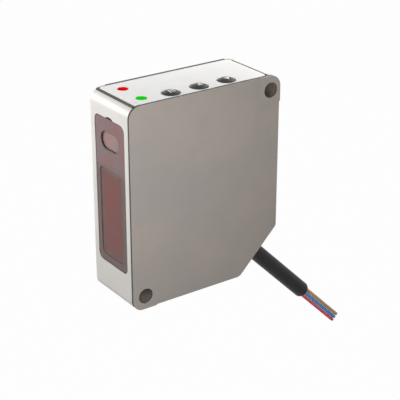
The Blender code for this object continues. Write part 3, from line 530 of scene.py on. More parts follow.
@dataclass(frozen=True)
class Finish:
    """A finish with a fine grain: cloudy colour, uneven gloss and a shallow relief.

    Args:
        name: The material's name.
        colour: Colour at one end of its clouds.
        roughness: Middle of its roughness.
        metallic: 1 for bare metal.
        ior: Index of refraction, for what isn't metal.
        shine: Level of the specular reflection.
        grain: Size of the relief's grain in millimetres.
        depth: Height of the relief in millimetres.
        cloud: Size of the colour's clouds in millimetres.
        second: Colour at the clouds' other end.
        spread: How far the roughness goes either side of its middle.
        stretch: Scale of the pattern along x, y and z, below 1 where it runs long.
    """

    name: str
    colour: str
    roughness: float = 0.5
    metallic: float = 0.0
    ior: float = 1.5
    shine: float = 0.5
    grain: float = 0.6
    depth: float = 0.01
    cloud: float = 9.0
    second: str = "#FFFFFF"
    spread: float = 0.05
    stretch: tuple[float, float, float] = (1.0, 1.0, 1.0)

    def material(self) -> bpy.types.Material:
        """Return the material of this finish, made the first time it is asked for."""
        made = bpy.data.materials.get(self.name)
        if made is not None:
            return made
        made = bpy.data.materials.new(self.name)
        made.use_nodes = True
        tree = made.node_tree
        shader = tree.nodes["Principled BSDF"]
        shader.inputs["Base Color"].default_value = linear(self.colour)
        shader.inputs["Roughness"].default_value = self.roughness
        shader.inputs["Metallic"].default_value = self.metallic
        shader.inputs["Specular IOR Level"].default_value = self.shine
        if self.metallic == 0.0:
            shader.inputs["IOR"].default_value = self.ior
        made.diffuse_color = linear(self.colour)
        self.pattern(tree, shader)
        return made

    def pattern(self, tree: bpy.types.NodeTree, shader: bpy.types.Node) -> None:
        """Add the clouds, the grain and the relief.

        Args:
            tree: The material's node tree.
            shader: Its Principled BSDF.
        """
        place = add_node(tree, "ShaderNodeTexCoord")
        aimed = add_node(tree, "ShaderNodeMapping", {"Scale": self.stretch},
                         {"Vector": place.outputs["Object"]})
        clouds = add_node(tree, "ShaderNodeTexNoise",
                          {"Scale": per_metre(self.cloud), "Detail": 4.0, "Roughness": 0.6},
                          {"Vector": place.outputs["Object"]})
        spread = add_node(tree, "ShaderNodeMapRange", {"From Min": 0.36, "From Max": 0.64},
                          {"Value": clouds.outputs["Fac"]})
        blend = add_node(tree, "ShaderNodeMix",
                         {"data_type": "RGBA", 6: linear(self.colour), 7: linear(self.second)},
                         {"Factor": spread.outputs["Result"]})
        tree.links.new(blend.outputs[2], shader.inputs["Base Color"])
        grains = add_node(tree, "ShaderNodeTexNoise",
                          {"Scale": per_metre(self.grain), "Detail": 3.0, "Roughness": 0.55},
                          {"Vector": aimed.outputs["Vector"]})
        gloss = add_node(tree, "ShaderNodeMapRange",
                         {"From Min": 0.3, "From Max": 0.7, "To Min": self.roughness - self.spread,
                          "To Max": self.roughness + self.spread},
                         {"Value": grains.outputs["Fac"]})
        tree.links.new(gloss.outputs["Result"], shader.inputs["Roughness"])
        relief = add_node(tree, "ShaderNodeBump",
                          {"Strength": 1.0, "Distance": self.depth * MM},
                          {"Height": grains.outputs["Fac"]})
        tree.links.new(relief.outputs["Normal"], shader.inputs["Normal"])


@dataclass(frozen=True)
class MaskedAcrylic(Finish):
    """Smoked acrylic whose lower part is masked from behind: the eye sees mauve turn to grey."""

    mask: str = "#72605D"
    mask_z: Pair = (36.5, 41.0)

    def pattern(self, tree: bpy.types.NodeTree, shader: bpy.types.Node) -> None:
        """Add the grain, and let the mask's grey take over towards the base.

        Args:
            tree: The material's node tree.
            shader: Its Principled BSDF.
        """
        super().pattern(tree, shader)
        place = add_node(tree, "ShaderNodeTexCoord")
        apart = add_node(tree, "ShaderNodeSeparateXYZ", {}, {0: place.outputs["Object"]})
        low, high = ((level - ORIGIN.z) * MM for level in self.mask_z)
        rise = add_node(tree, "ShaderNodeMapRange", {"From Min": low, "From Max": high},
                        {"Value": apart.outputs["Z"]})
        ground = shader.inputs["Base Color"].links[0].from_socket
        faded = add_node(tree, "ShaderNodeMix", {"data_type": "RGBA", 6: linear(self.mask)},
                         {"Factor": rise.outputs["Result"], 7: ground})
        tree.links.new(faded.outputs[2], shader.inputs["Base Color"])


@dataclass(frozen=True)
class LitLens(Finish):
    """Diffusing lens with a lamp behind it: the eye sees one strong colour that glows a little."""

    lit: str = "#FFFFFF"
    glow: float = 0.7

    def pattern(self, tree: bpy.types.NodeTree, shader: bpy.types.Node) -> None:
        """Add the grain and the glow.

        Args:
            tree: The material's node tree.
            shader: Its Principled BSDF.
        """
        super().pattern(tree, shader)
        shader.inputs["Emission Color"].default_value = linear(self.lit)
        shader.inputs["Emission Strength"].default_value = self.glow


@dataclass(frozen=True)
class ClearGlass(Finish):
    """Polished optical glass with a faint coating tint."""

    def pattern(self, tree: bpy.types.NodeTree, shader: bpy.types.Node) -> None:
        """Add the grain and let light through.

        Args:
            tree: The material's node tree.
            shader: Its Principled BSDF.
        """
        super().pattern(tree, shader)
        shader.inputs["Transmission Weight"].default_value = 0.9


@dataclass(frozen=True)
class CircuitLaminate(Finish):
    """Glass-fibre laminate under solder mask: green, with tracks a shade lighter."""

    track: float = 1.2
    line: str = "#2E7A4E"

    def pattern(self, tree: bpy.types.NodeTree, shader: bpy.types.Node) -> None:
        """Add the grain, then draw tracks along the edges of square cells.

        Args:
            tree: The material's node tree.
            shader: Its Principled BSDF.
        """
        super().pattern(tree, shader)
        place = add_node(tree, "ShaderNodeTexCoord")
        cells = add_node(tree, "ShaderNodeTexVoronoi",
                         {"distance": "CHEBYCHEV", "feature": "F1",
                          "Scale": per_metre(self.track)},
                         {"Vector": place.outputs["Object"]})
        edge = add_node(tree, "ShaderNodeMapRange", {"From Min": 0.5, "From Max": 0.56},
                        {"Value": cells.outputs["Distance"]})
        ground = shader.inputs["Base Color"].links[0].from_socket
        drawn = add_node(tree, "ShaderNodeMix", {"data_type": "RGBA", 7: linear(self.line)},
                         {"Factor": edge.outputs["Result"], 6: ground})
        tree.links.new(drawn.outputs[2], shader.inputs["Base Color"])


# Zinc die casting under satin powder paint: pale warm grey, a faint orange peel
CAST_PAINT = Finish("powder_painted_zinc", "#F0ECE7", 0.3, shine=0.5, second="#EAE6E0",
                    grain=1.2, depth=0.001, cloud=14.0, spread=0.03)
# Inside of the casting, left bare, and its bores, in painted shade: dull brown grey; in the bores
# it stands for the shade deep in the mounting holes
CAST_INSIDE_AND_BORE_SHADE = Finish("bare_zinc_and_bore_shade", "#8E857B", 0.55, 0.2, second="#857C73", grain=0.5,
                     depth=0.008, cloud=4.0)
# Pressed steel cover under satin taupe paint: even warm grey with a fine tooth; its darkness
# beside the pale casting is partly the paint and partly painted shade of the near side
COVER_PAINT_AND_SIDE_SHADE = Finish("taupe_paint_and_side_shade", "#9E958D", 0.48, second="#96908B", grain=1.2,
                     depth=0.001, cloud=16.0, spread=0.02)
# Moulded polycarbonate panel: white, spark-eroded mould texture, drawn coarser than it is
PANEL_PLASTIC = Finish("moulded_polycarbonate", "#F2F1EE", 0.45, ior=1.58, second="#ECEBE8",
                       grain=0.8, depth=0.001, cloud=14.0, spread=0.03)
# Smoked acrylic of the window: grey mauve with redder clouds, greyer over the mask behind it
WINDOW_ACRYLIC = MaskedAcrylic("smoked_acrylic", "#827473", 0.3, ior=1.49, shine=0.25,
                               second="#916767", grain=3.0, depth=0.001, cloud=6.0,
                               spread=0.02)
# The same acrylic polished and thinner at the port: a paler, rosier grey
PORT_ACRYLIC = Finish("polished_port_acrylic", "#9E8B87", 0.25, ior=1.49, shine=0.25,
                      second="#A77D7B", grain=3.0, depth=0.001, cloud=3.0, spread=0.02)
# Ink printed round the receiver field and the port: a brown grey border; on the field's sunk walls
# the same colour is painted shade
MASK_INK_AND_WALL_SHADE = Finish("mask_ink_and_wall_shade", "#73645F", 0.4, ior=1.49, shine=0.25, second="#695652",
                  grain=0.6, depth=0.002, cloud=3.0, spread=0.03)
# Acrylic that filters for the receiver: dull deep red
FIELD_ACRYLIC = Finish("receiver_acrylic", "#80453F", 0.25, ior=1.49, shine=0.25,
                       second="#7A4A46", grain=3.0, depth=0.001, cloud=3.5, spread=0.02)
# Sides of the pane and walls of the sunk port, in painted shade: nearly black, for the shadow in
# the gap round the pane and down the port's walls
PANE_EDGE_SHADE = Finish("pane_edge_painted_shade", "#2E2825", 0.5, ior=1.49, shine=0.25, second="#2A2523",
                      grain=0.6, depth=0.001, cloud=3.0)
# Moulded silicone seals: near black, matte
SEAL_RUBBER = Finish("moulded_silicone", "#4C4843", 0.75, second="#44403C", grain=0.4,
                     depth=0.006, cloud=3.0)
# Moulded chloroprene of the gland: black, matte, with a faint tooth
GLAND_RUBBER = Finish("moulded_chloroprene", "#2C2B2A", 0.6, shine=0.25, second="#262524",
                      grain=0.8, depth=0.002, cloud=3.0, spread=0.03)
# Keys in dark silicone with a satin skin
KEY_RUBBER = Finish("satin_silicone", "#434342", 0.5, shine=0.16, second="#3D3D3C", grain=0.6,
                    depth=0.001, cloud=2.0, spread=0.03)
# Screen-printed ink on the keys: chalky white
KEY_INK = Finish("screen_ink", "#F4F4F2", 0.5, second="#E8E8E6", grain=0.3, depth=0.002,
                 cloud=1.0)
# Moulded light pipes with a lamp behind them: one strong colour each
RED_LENS = LitLens("red_light_lens", "#7A0602", 0.6, shine=0.0, second="#720602", grain=0.8,
                   depth=0.001, cloud=1.5, lit="#E80A02")
GREEN_LENS = LitLens("green_light_lens", "#06760A", 0.6, shine=0.0, second="#066C08",
                     grain=0.8, depth=0.001, cloud=1.5, lit="#12DE06")
# Extruded polyurethane of the cable: black, satin
SHEATH = Finish("extruded_polyurethane", "#292929", 0.45, shine=0.15, second="#262626",
                grain=1.5, depth=0.001, cloud=5.0, spread=0.03)
# Extruded insulation of the leads: smooth, bright and a little glossy
BROWN_SKIN, BLUE_SKIN, RED_SKIN = (
    Finish(name, colour, 0.45, shine=0.3, second=second, grain=0.8, depth=0.001, cloud=2.5)
    for name, colour, second in (("brown_lead_skin", "#ECB480", "#E6AC78"),
                                 ("blue_lead_skin", "#5CB2F8", "#58ACF2"),
                                 ("red_lead_skin", "#FF6C7C", "#FF6678")))
# Moulded glass-filled nylon of the optics carrier: matte black with flow marks
BLACK_MOULDING = Finish("glass_filled_nylon", "#1E1E1F", 0.6, second="#28282A", grain=0.3,
                        depth=0.01, cloud=2.5)
# Moulded epoxy round the chips: flat dark grey
CHIP_MOULDING = Finish("epoxy_package", "#222326", 0.5, second="#2B2C2F", grain=0.2,
                       depth=0.004, cloud=1.2)
# Undyed nylon of the sockets and the diodes' housings: ivory
NYLON_WHITE = Finish("natural_nylon", "#E4E1D6", 0.5, second="#D8D5CA", grain=0.5,
                     depth=0.004, cloud=2.0)
# Circuit boards under solder mask: deep green with lighter tracks
BOARD = CircuitLaminate("solder_masked_laminate", "#1E5A38", 0.4, second="#1A5233", grain=0.4,
                        depth=0.003, cloud=3.0)
# Turned brass: yellow, with the tool's fine rings, drawn coarser than they are
TURNED_BRASS = Finish("turned_brass", "#C09A52", 0.3, 1.0, second="#B28C46", grain=0.25,
                      depth=0.003, cloud=2.0, stretch=(0.2, 1.0, 0.2))
# Zinc-plated steel of the screws and the diode's can: cold bright grey, grain drawn coarse
PLATED_STEEL = Finish("zinc_plated_steel", "#B4B6B8", 0.32, 1.0, second="#A4A6A9", grain=0.25,
                      depth=0.003, cloud=1.5)
# Polished crown glass with a coating: clear, with a cold tint
LENS_GLASS = ClearGlass("coated_crown_glass", "#E8F2F0", 0.05, ior=1.52, second="#E2EEF0",
                        grain=4.0, depth=0.0005, cloud=4.0, spread=0.01)
# Rolled polyimide film of the flat flex: amber, with faint lines along its length
FLEX_FILM = Finish("polyimide_film", "#B0702A", 0.35, second="#A4661F", grain=0.6, depth=0.003,
                   cloud=2.0, stretch=(0.3, 1.0, 0.3))


def dress(piece: bpy.types.Object, *finishes: Finish) -> None:
    """Give a piece its finishes, in the order of its faces' material numbers.

    Args:
        piece: The object to dress.
        finishes: One finish, or one for each material number.
    """
    piece.data.materials.clear()
    for finish in finishes:
        piece.data.materials.append(finish.material())


def report(piece: bpy.types.Object, body: Body, slot: str, *nodes: str) -> None:
    """Let a finished piece ride on its body, stand for its nodes, and name it in the log.

    Args:
        piece: The finished object.
        body: The body that it rides on.
        slot: The record's material slot; not used.
        nodes: The nodes that it stands for.
    """
    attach(piece, body.value)
    if nodes:
        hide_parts(*nodes)
    LOG.info("%s rides on %s", piece.name, body.value)


# The sensor's own sizes


@dataclass
class BodyOutline:
    """Side outline that the casting, the seal and the cover share."""

    width: float = 20.0
    depth: float = 50.0
    height: float = 60.0
    chamfer: float = 13.1
    top_radius: float = 3.5
    base_radius: float = 2.8
    chamfer_low_radius: float = 2.0
    chamfer_high_radius: float = 1.2
    hole_radius: float = 2.25
    low_hole: Pair = (3.9, 4.0)
    high_hole: Pair = (46.6, 55.8)
    lug_wall: Pair = (1.75, 1.95)
    lug_round: float = 1.0
    lug_reach: float = 12.0

    def low_lug(self) -> Pair:
        """Return the inner corner of the lower lug."""
        return (self.low_hole[0] + self.hole_radius + self.lug_wall[0],
                self.low_hole[1] + self.hole_radius + self.lug_wall[1])

    def high_lug(self) -> Pair:
        """Return the inner corner of the upper lug."""
        return (self.high_hole[0] - self.hole_radius - self.lug_wall[0],
                self.high_hole[1] - self.hole_radius - self.lug_wall[1])

    def blank(self, name: str, x: Pair) -> bpy.types.Object:
        """Make a slab of the side outline.

        Args:
            name: Name of the object.
            x: Its far and its near face.

        Returns:
            The slab.
        """
        slab = block(name, x, (0, self.depth), (0, self.height))
        foot = self.depth - self.chamfer
        slice_off(slab, (0, foot, 0), (0, 1, -1))
        bend = math.tan(math.pi / 8)
        for spot, reach in (((0, 0), self.base_radius), ((0, self.height), self.top_radius),
                            ((self.depth, self.height), self.top_radius),
                            ((foot, 0), self.chamfer_low_radius * bend),
                            ((self.depth, self.chamfer), self.chamfer_high_radius * bend)):
            round_edges(slab, along(Axis.X, [spot], slack=0.05), reach, steps=12)
        return slab

    def clear_lugs(self, tool: bpy.types.Object, x: Pair, lean: float = 0.0) -> None:
        """Take both corner lugs out of a cutter, so that they stay on the piece it cuts.

        Args:
            tool: The cutter.
            x: Low and high x of the lugs.
            lean: How far a lug's wall leans towards its corner for each millimetre of x; the
                wall crosses the lug's outline at the body's near face.
        """
        shift = lean * (self.width - x[0])
        slide = lean * (x[1] - x[0]) * MM
        for label, corner, way in (("low_lug", self.low_lug(), -1),
                                   ("high_lug", self.high_lug(), 1)):
            spot = (corner[0] - way * shift, corner[1] - way * shift)
            y, z = (tuple(sorted((place, place + way * self.lug_reach))) for place in spot)
            lug = block(label, x, y, z)
            round_edges(lug, along(Axis.X, [spot]), self.lug_round, steps=6)
            if lean:
                with editing(lug, Part.FACE):
                    pick(lug, Part.FACE, lambda at, n: n.x > 0.9)
                    bpy.ops.transform.translate(value=(0, way * slide, way * slide))
            combine(tool, lug)

    def in_bore(self, at: Vector, normal: Vector) -> bool:
        """Tell whether a face belongs to a mounting hole.

        Args:
            at: The face's middle.
            normal: Its normal.

        Returns:
            True for a face of a bore.
        """
        return abs(normal.x) < 0.5 and any(
            math.hypot(at.y - hole[0], at.z - hole[1]) < self.hole_radius + 0.05
            for hole in (self.low_hole, self.high_hole))

    def drill(self, piece: bpy.types.Object, x: Pair) -> None:
        """Drill both mounting holes.

        Args:
            piece: The object to drill.
            x: Where the drill starts and ends.
        """
        for label, at in (("low_bore", self.low_hole), ("high_bore", self.high_hole)):
            combine(piece, rod(label, Axis.X, at, self.hole_radius, *x))


@dataclass
class Opening:
    """Rounded rectangle in the front face: its sides and the radius of its corners."""

    x: Pair
    z: Pair
    radius: float

    def bar(self, name: str, y: Pair, inset: float = 0.0, steps: int = 10) -> bpy.types.Object:
        """Make a bar of this outline, square to the front face.

        Args:
            name: Name of the object.
            y: Low and high y.
            inset: How far it lies inside the outline, below 0 where it stands outside.
            steps: Segments across each corner.

        Returns:
            The bar.
        """
        x, z = ((low + inset, high - inset) for low, high in (self.x, self.z))
        return rounded_block(name, x, y, z, Axis.Y, self.radius - inset, steps)

    def spans(self, at: Vector, slack: float = 0.05) -> bool:
        """Tell whether a place lies between the outline's sides."""
        return all(low - slack < value < high + slack
                   for value, (low, high) in ((at.x, self.x), (at.z, self.z)))

    def has_on_rim(self, at: Vector, inset: float = 0.0, slack: float = 0.03) -> bool:
        """Tell whether a place lies on the outline.

        Args:
            at: The place.
            inset: How far inside the outline the rim lies.
            slack: How far off the place may be.

        Returns:
            True on the rim.
        """
        across, up = (abs(value - (low + high) / 2) - (high - low) / 2 + self.radius
                      for value, (low, high) in ((at.x, self.x), (at.z, self.z)))
        reach = math.hypot(across, up) if across > 0 and up > 0 else max(across, up)
        return abs(reach - self.radius + inset) < slack


@dataclass
class Window:
    """Smoked window with its laser port and receiver field, and the opening it sits in."""

    left: float = 2.3
    right: float = 17.4
    base: float = 10.1
    top: float = 53.9
    radius: float = 2.0
    gap: float = 0.25
    fit: float = 0.02
    seal_y: Pair = (0.13, 2.05)
    sink: float = 0.15
    thick: float = 1.5
    rim_round: float = 0.06
    ledge_y: float = 2.1
    opening_y: Pair = (1.0, 4.3)
    opening_inset: float = 1.3
    opening_radius: float = 1.2
    emitter_z: float = 47.4
    port_side: float = 3.05
    port_height: float = 5.0
    port_sink: float = 0.5
    port_ring: float = 0.28
    ring_sink: float = 0.03
    field_side: float = 1.8
    field_base: float = 12.3
    field_top: float = 39.0
    field_radius: float = 1.6
    field_sink: float = 0.25
    mask_width: float = 1.3
    notch_width: float = 3.6
    notch_rise: float = 0.55
    tab_y: Pair = (0.63, 2.05)
    tab_root: float = 0.1

    def inside(self, inset: float, radius: float) -> Opening:
        """Return an outline that lies inside the window's by the same amount all round."""
        return Opening((self.left + inset, self.right - inset),
                       (self.base + inset, self.top - inset), radius)

    def port(self) -> Opening:
        """Return the outline of the laser port, a slot whose ends are all but full rounds."""
        half = self.port_height / 2
        return Opening((self.left + self.port_side, self.right - self.port_side),
                       (self.emitter_z - half, self.emitter_z + half), half - 0.01)

    def receiver(self) -> Opening:
        """Return the outline of the receiver field."""
        return Opening((self.left + self.field_side, self.right - self.field_side),
                       (self.field_base, self.field_top), self.field_radius)

    def light_room(self, name: str, y: Pair) -> bpy.types.Object:
        """Make the cutter that lets the light through behind the pane."""
        return self.inside(self.opening_inset, self.opening_radius).bar(name, y)

    def cut_front(self, casting: bpy.types.Object) -> None:
        """Cut the window's recess, its opening and the pry notch into the front wall.

        Args:
            casting: The housing.
        """
        combine(casting, self.inside(0.0, self.radius).bar("recess", (-PAST, self.ledge_y)))
        combine(casting, self.light_room("opening", self.opening_y))
        combine(casting, self.notch("pry_notch", (-PAST, self.ledge_y), 0.0))

    def notch(self, name: str, y: Pair, inset: float) -> bpy.types.Object:
        """Make a flat oval bar at the middle of the window's top edge.

        Args:
            name: Name of the object.
            y: Low and high y of the bar.
            inset: How far it lies inside the notch.

        Returns:
            The bar.
        """
        middle = (self.left + self.right) / 2
        radius, rise = self.notch_width / 2 - inset, self.notch_rise - inset
        notch = rod(name, Axis.Y, (middle, self.top), radius, *y)
        take_up(notch)
        bpy.ops.transform.resize(value=(1, 1, rise / radius),
                                 center_override=metres((middle, 0, self.top)))
        settle(notch)
        return notch

    def pane(self) -> bpy.types.Object:
        """Make the pane, with the port and the receiver field sunk into its face."""
        front, back = self.sink, self.sink + self.thick
        outline, port, receiver = self.inside(0.0, self.radius), self.port(), self.receiver()
        ring_floor, port_floor, field_floor = (
            front + sink for sink in (self.ring_sink, self.port_sink, self.field_sink))
        pane = outline.bar("window_pane", (front, back), self.gap, steps=12)
        combine(pane, port.bar("port_ring", (-PAST, ring_floor), -self.port_ring, steps=16))
        combine(pane, port.bar("port", (-PAST, port_floor), steps=16))
        combine(pane, receiver.bar("field", (-PAST, field_floor)))
        dress(pane, WINDOW_ACRYLIC, PORT_ACRYLIC, MASK_INK_AND_WALL_SHADE, FIELD_ACRYLIC, PANE_EDGE_SHADE)

        def on_floor(floor: float) -> Test:
            """Make a test for the faces at the bottom of a sunk outline."""
            return lambda at, n: n.y < -0.9 and abs(at.y - floor) < 0.01

        # Every side face of the pane takes painted shade
        paint(pane, PaneFinish.EDGE, lambda at, n: abs(n.y) < 0.1)
        # The receiver field's sunk walls take the dark mask ink as painted shade
        paint(pane, PaneFinish.MASK, lambda at, n: abs(n.y) < 0.1 and receiver.spans(at))
        paint(pane, PaneFinish.MASK, on_floor(ring_floor))
        paint(pane, PaneFinish.PORT, on_floor(port_floor))
        with editing(pane, Part.FACE):
            pick(pane, Part.FACE, on_floor(field_floor))
            assign(pane, PaneFinish.MASK)
            bpy.ops.mesh.inset(thickness=self.mask_width * MM, depth=0)
            assign(pane, PaneFinish.FIELD)
        round_edges(pane, lambda at, d: abs(at.y - front) < 0.01 and abs(d.y) < 0.1
                    and (outline.has_on_rim(at, self.gap) or receiver.has_on_rim(at)),
                    self.rim_round, steps=2)
        smooth(pane)
        return pane

    def seal(self) -> bpy.types.Object:
        """Make the stepped seal that lies behind the pane and fills the gap round it."""
        outline, fit = self.inside(0.0, self.radius), self.fit
        seal = outline.bar("window_gasket", self.seal_y, fit, steps=12)
        combine(seal, outline.bar("pane_room", (-PAST, self.sink + self.thick + fit),
                                  self.gap - fit, steps=12))
        combine(seal, self.light_room("light_room", (-PAST, self.ledge_y + PAST)))
        tab = self.notch("pry_tab", self.tab_y, fit)
        slice_off(tab, (0, 0, self.top - self.tab_root), (0, 0, -1))
        combine(seal, tab, join=True)
        smooth(seal)
        dress(seal, SEAL_RUBBER)
        return seal

    def build(self) -> None:
        """Make the pane and its seal, and report both."""
        report(self.pane(), Body.SENSOR, "smoked_window", "front_window")
        report(self.seal(), Body.SENSOR, "seal_rubber", "window_seal")


@dataclass
class Casting:
    """Die-cast housing: front wall, side wall, lugs, posts and shelves in one piece."""

    outline: BodyOutline
    window: Window
    rim_x: float = 19.25
    side_wall: float = 1.5
    shell_wall: float = 1.6
    chamfer_wall: float = 2.4
    side_round: float = 0.6
    room_front: float = 3.3
    room_back: float = 48.4
    seat_far: float = 0.4
    seat_front: float = 1.6
    seat_rear: float = 46.5
    seat_z: float = 58.7
    seat_front_round: float = 0.65
    seat_rear_round: float = 1.6
    post_radius: float = 2.2
    post_root: float = 0.75
    post_x: Pair = (13.7, 16.7)
    boss_x: Pair = (1.2, 3.4)
    bore_radius: float = 1.15
    posts: tuple[Pair, ...] = ((44.4, 48.0), (32.0, 48.0), (44.4, 17.5), (32.0, 17.5))
    carrier_screws: tuple[str, ...] = ("carrier_screw_waist", "carrier_screw_low_front",
                                       "carrier_screw_low_rear")
    shelf_x: Pair = (0.75, 15.0)
    shelf_y: Pair = (38.6, 43.6)
    shelf_z: Pair = (50.6, 53.7)
    shelf_bore_z: Pair = (51.0, 53.7)
    shelf_bores: tuple[Pair, ...] = ((4.5, 40.6), (12.0, 40.6))
    lip_x: Pair = (3.7, 16.0)
    lip_y: Pair = (2.4, 4.7)
    lip_z: Pair = (52.7, 53.7)
    gland_bore: float = 3.8
    gland_reach: Pair = (-4.8, 2.4)

    def bosses(self) -> list[Pair]:
        """Return where the optics carrier's three screws cross the side wall."""
        spots = []
        for name in self.carrier_screws:
            low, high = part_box(name)
            middle = (low + high) / 2 / MM + ORIGIN
            spots.append((middle.y, middle.z))
        return spots

    def is_inside(self, at: Vector, normal: Vector) -> bool:
        """Tell whether a face belongs to the room inside, which stays unpainted, or to a bore,
        whose walls take painted shade.

        Args:
            at: The face's middle.
            normal: Its normal.

        Returns:
            True for a bare face, or for a bore's face in painted shade.
        """
        if self.outline.in_bore(at, normal):
            return True
        margin = 0.3
        return (at.x > self.side_wall - margin and self.room_front - margin < at.y
                and at.y < self.room_back + margin and self.shell_wall - margin < at.z
                and at.z < self.seat_z - margin and abs(at.x - self.rim_x) > 0.05)

    def neck(self) -> bpy.types.Object:
        """Make the cutter for the gland's bore, square to the chamfer."""
        low, high = self.gland_reach
        bpy.ops.mesh.primitive_cylinder_add(
            vertices=40, radius=self.gland_bore * MM, depth=(high - low) * MM,
            location=off_chamfer((low + high) / 2), rotation=DOWN_THE_CABLE)
        return take_new("gland_neck")

    def room(self) -> bpy.types.Object:
        """Make the cutter for the room inside, which leaves both lugs standing."""
        form = self.outline
        room = block("room", (self.side_wall, self.rim_x + PAST),
                     (self.room_front, self.room_back), (self.shell_wall, form.height + PAST))
        foot = form.depth - form.chamfer - self.chamfer_wall * math.sqrt(2)
        slice_off(room, (0, foot, 0), (0, 1, -1))
        form.clear_lugs(room, (0, form.width + 2 * PAST))
        return room

    def seat(self, name: str, near: float, z: Pair, fit: float = 0.0) -> bpy.types.Object:
        """Make a block that fills the top panel's seat.

        Args:
            name: Name of the object.
            near: High x of the block.
            z: Low and high z.
            fit: How far it lies inside the seat on its other three sides.

        Returns:
            The block.
        """
        far, front, rear = self.seat_far + fit, self.seat_front + fit, self.seat_rear - fit
        seat = block(name, (far, near), (front, rear), z)
        round_edges(seat, along(Axis.Z, [(far, front)]), self.seat_front_round, steps=6)
        round_edges(seat, along(Axis.Z, [(far, rear)]), self.seat_rear_round, steps=8)
        return seat

    def build(self) -> None:
        """Make the casting, dress it and report it."""
        form, bosses = self.outline, self.bosses()
        tub = form.blank("cast_housing", (0, self.rim_x))
        round_edges(tub, lambda at, d: at.x < 0.001 and abs(d.x) < 0.01, self.side_round,
                    steps=5)
        combine(tub, self.room())
        combine(tub, self.seat("panel_seat", self.rim_x + PAST,
                               (self.seat_z, form.height + PAST)))
        self.window.cut_front(tub)
        for label, spots, top in (("post", self.posts, self.post_x[1]),
                                  ("boss", bosses, self.boss_x[1])):
            for at in spots:
                combine(tub, rod(label, Axis.X, at, self.post_radius, self.post_root, top,
                                 sides=32), join=True)
        combine(tub, block("shelf", self.shelf_x, self.shelf_y, self.shelf_z), join=True)
        combine(tub, block("lip", self.lip_x, self.lip_y, self.lip_z), join=True)
        for axis, spots, (floor, mouth) in ((Axis.X, self.posts, self.post_x),
                                            (Axis.X, bosses, self.boss_x),
                                            (Axis.Z, self.shelf_bores, self.shelf_bore_z)):
            for at in spots:
                combine(tub, rod("screw_bore", axis, at, self.bore_radius, floor, mouth + PAST,
                                 sides=24))
        form.drill(tub, (-PAST, self.rim_x + PAST))
        combine(tub, self.neck())
        dress(tub, CAST_PAINT, CAST_INSIDE_AND_BORE_SHADE)
        # The room inside stays bare; the bores' walls take painted shade, dark as the deep holes
        # look
        paint(tub, BARE_AND_BORE_SHADE, self.is_inside)
        smooth(tub)
        report(tub, Body.SENSOR, "cast_white", "housing")


@dataclass
class Cover:
    """Near side cover with a raised pad round each hole, and the seal under it."""

    casting: Casting
    plate_x: float = 19.95
    pad_rise: float = 0.4
    pad_lean: float = 1.4
    edge_round: float = 0.12
    seal_x: Pair = (19.27, 19.93)
    bridge_top: float = 59.0

    def plate(self) -> bpy.types.Object:
        """Make the plate with its pads."""
        form = self.casting.outline
        face = form.width
        plate = form.blank("cover_plate", (self.plate_x, face + self.pad_rise))
        relief = block("relief", (face, face + PAST), (-PAST, form.depth + PAST),
                       (-PAST, form.height + PAST))
        form.clear_lugs(relief, (face - PAST, face + 2 * PAST), self.pad_lean)
        combine(plate, relief)
        form.drill(plate, (self.plate_x - PAST, face + PAST))
        ease(plate, self.edge_round)
        smooth(plate)
        # The cover's taupe is partly painted shade of the near side
        dress(plate, COVER_PAINT_AND_SIDE_SHADE, CAST_INSIDE_AND_BORE_SHADE)
        # The bores' walls take painted shade, dark as the deep holes look
        paint(plate, BARE_AND_BORE_SHADE, form.in_bore)
        return plate

    def seal(self) -> bpy.types.Object:
        """Make the seal that shows as a dark line between the casting and the plate."""
        form = self.casting.outline
        seal = form.blank("cover_gasket", self.seal_x)
        room = self.casting.room()
        slice_off(room, (0, 0, self.bridge_top), (0, 0, 1))
        combine(seal, room)
        form.drill(seal, (self.seal_x[0] - PAST, self.seal_x[1] + PAST))
        smooth(seal)
        dress(seal, SEAL_RUBBER, CAST_INSIDE_AND_BORE_SHADE)
        # The bores' walls take painted shade, dark as the deep holes look
        paint(seal, BARE_AND_BORE_SHADE, form.in_bore)
        return seal

    def build(self) -> None:
        """Make the plate and the seal, and report both."""
        report(self.plate(), Body.SENSOR, "taupe_paint", "near_side_cover")
        report(self.seal(), Body.SENSOR, "seal_rubber", "cover_seal")


@dataclass
class Dome:
    """A turned button: a shallow dome over a straight side, a flange and a stem."""

    radius: float
    rim_z: float
    crown: float
    flange_top: float
    flange_base: float
    flange: float
    foot: float
    stem: float

    def ball(self, x: float = 0.0, y: float = 0.0) -> tuple[float, Vector]:
        """Return the radius of the sphere whose top is the crown, and its centre."""
        radius = (self.radius ** 2 + self.crown ** 2) / (2 * self.crown)
        return radius, Vector((x, y, self.rim_z + self.crown - radius))

    def make(self, name: str) -> bpy.types.Object:
        """Make the button at x 0 and y 0 from the top of a sphere, drawn down to its foot.

        Args:
            name: Name of the object.

        Returns:
            The button.
        """
        ball, centre = self.ball()
        bpy.ops.mesh.primitive_uv_sphere_add(segments=40, ring_count=80, radius=ball * MM,
                                             location=metres(centre))
        piece = take_new(name)
        slice_off(piece, (0, 0, self.rim_z), (0, 0, -1))
        wide = self.radius + self.flange
        with editing(piece, Part.FACE):
            pick(piece, Part.FACE, lambda at, n: n.z < -0.9 and at.z < self.rim_z + 0.01)
            draw_rings([(self.radius, self.rim_z), (self.radius, self.flange_top),
                        (wide, self.flange_top), (wide, self.flange_base),
                        (self.stem, self.flange_base), (self.stem, self.foot)], metres(centre))
        smooth(piece)
        return piece


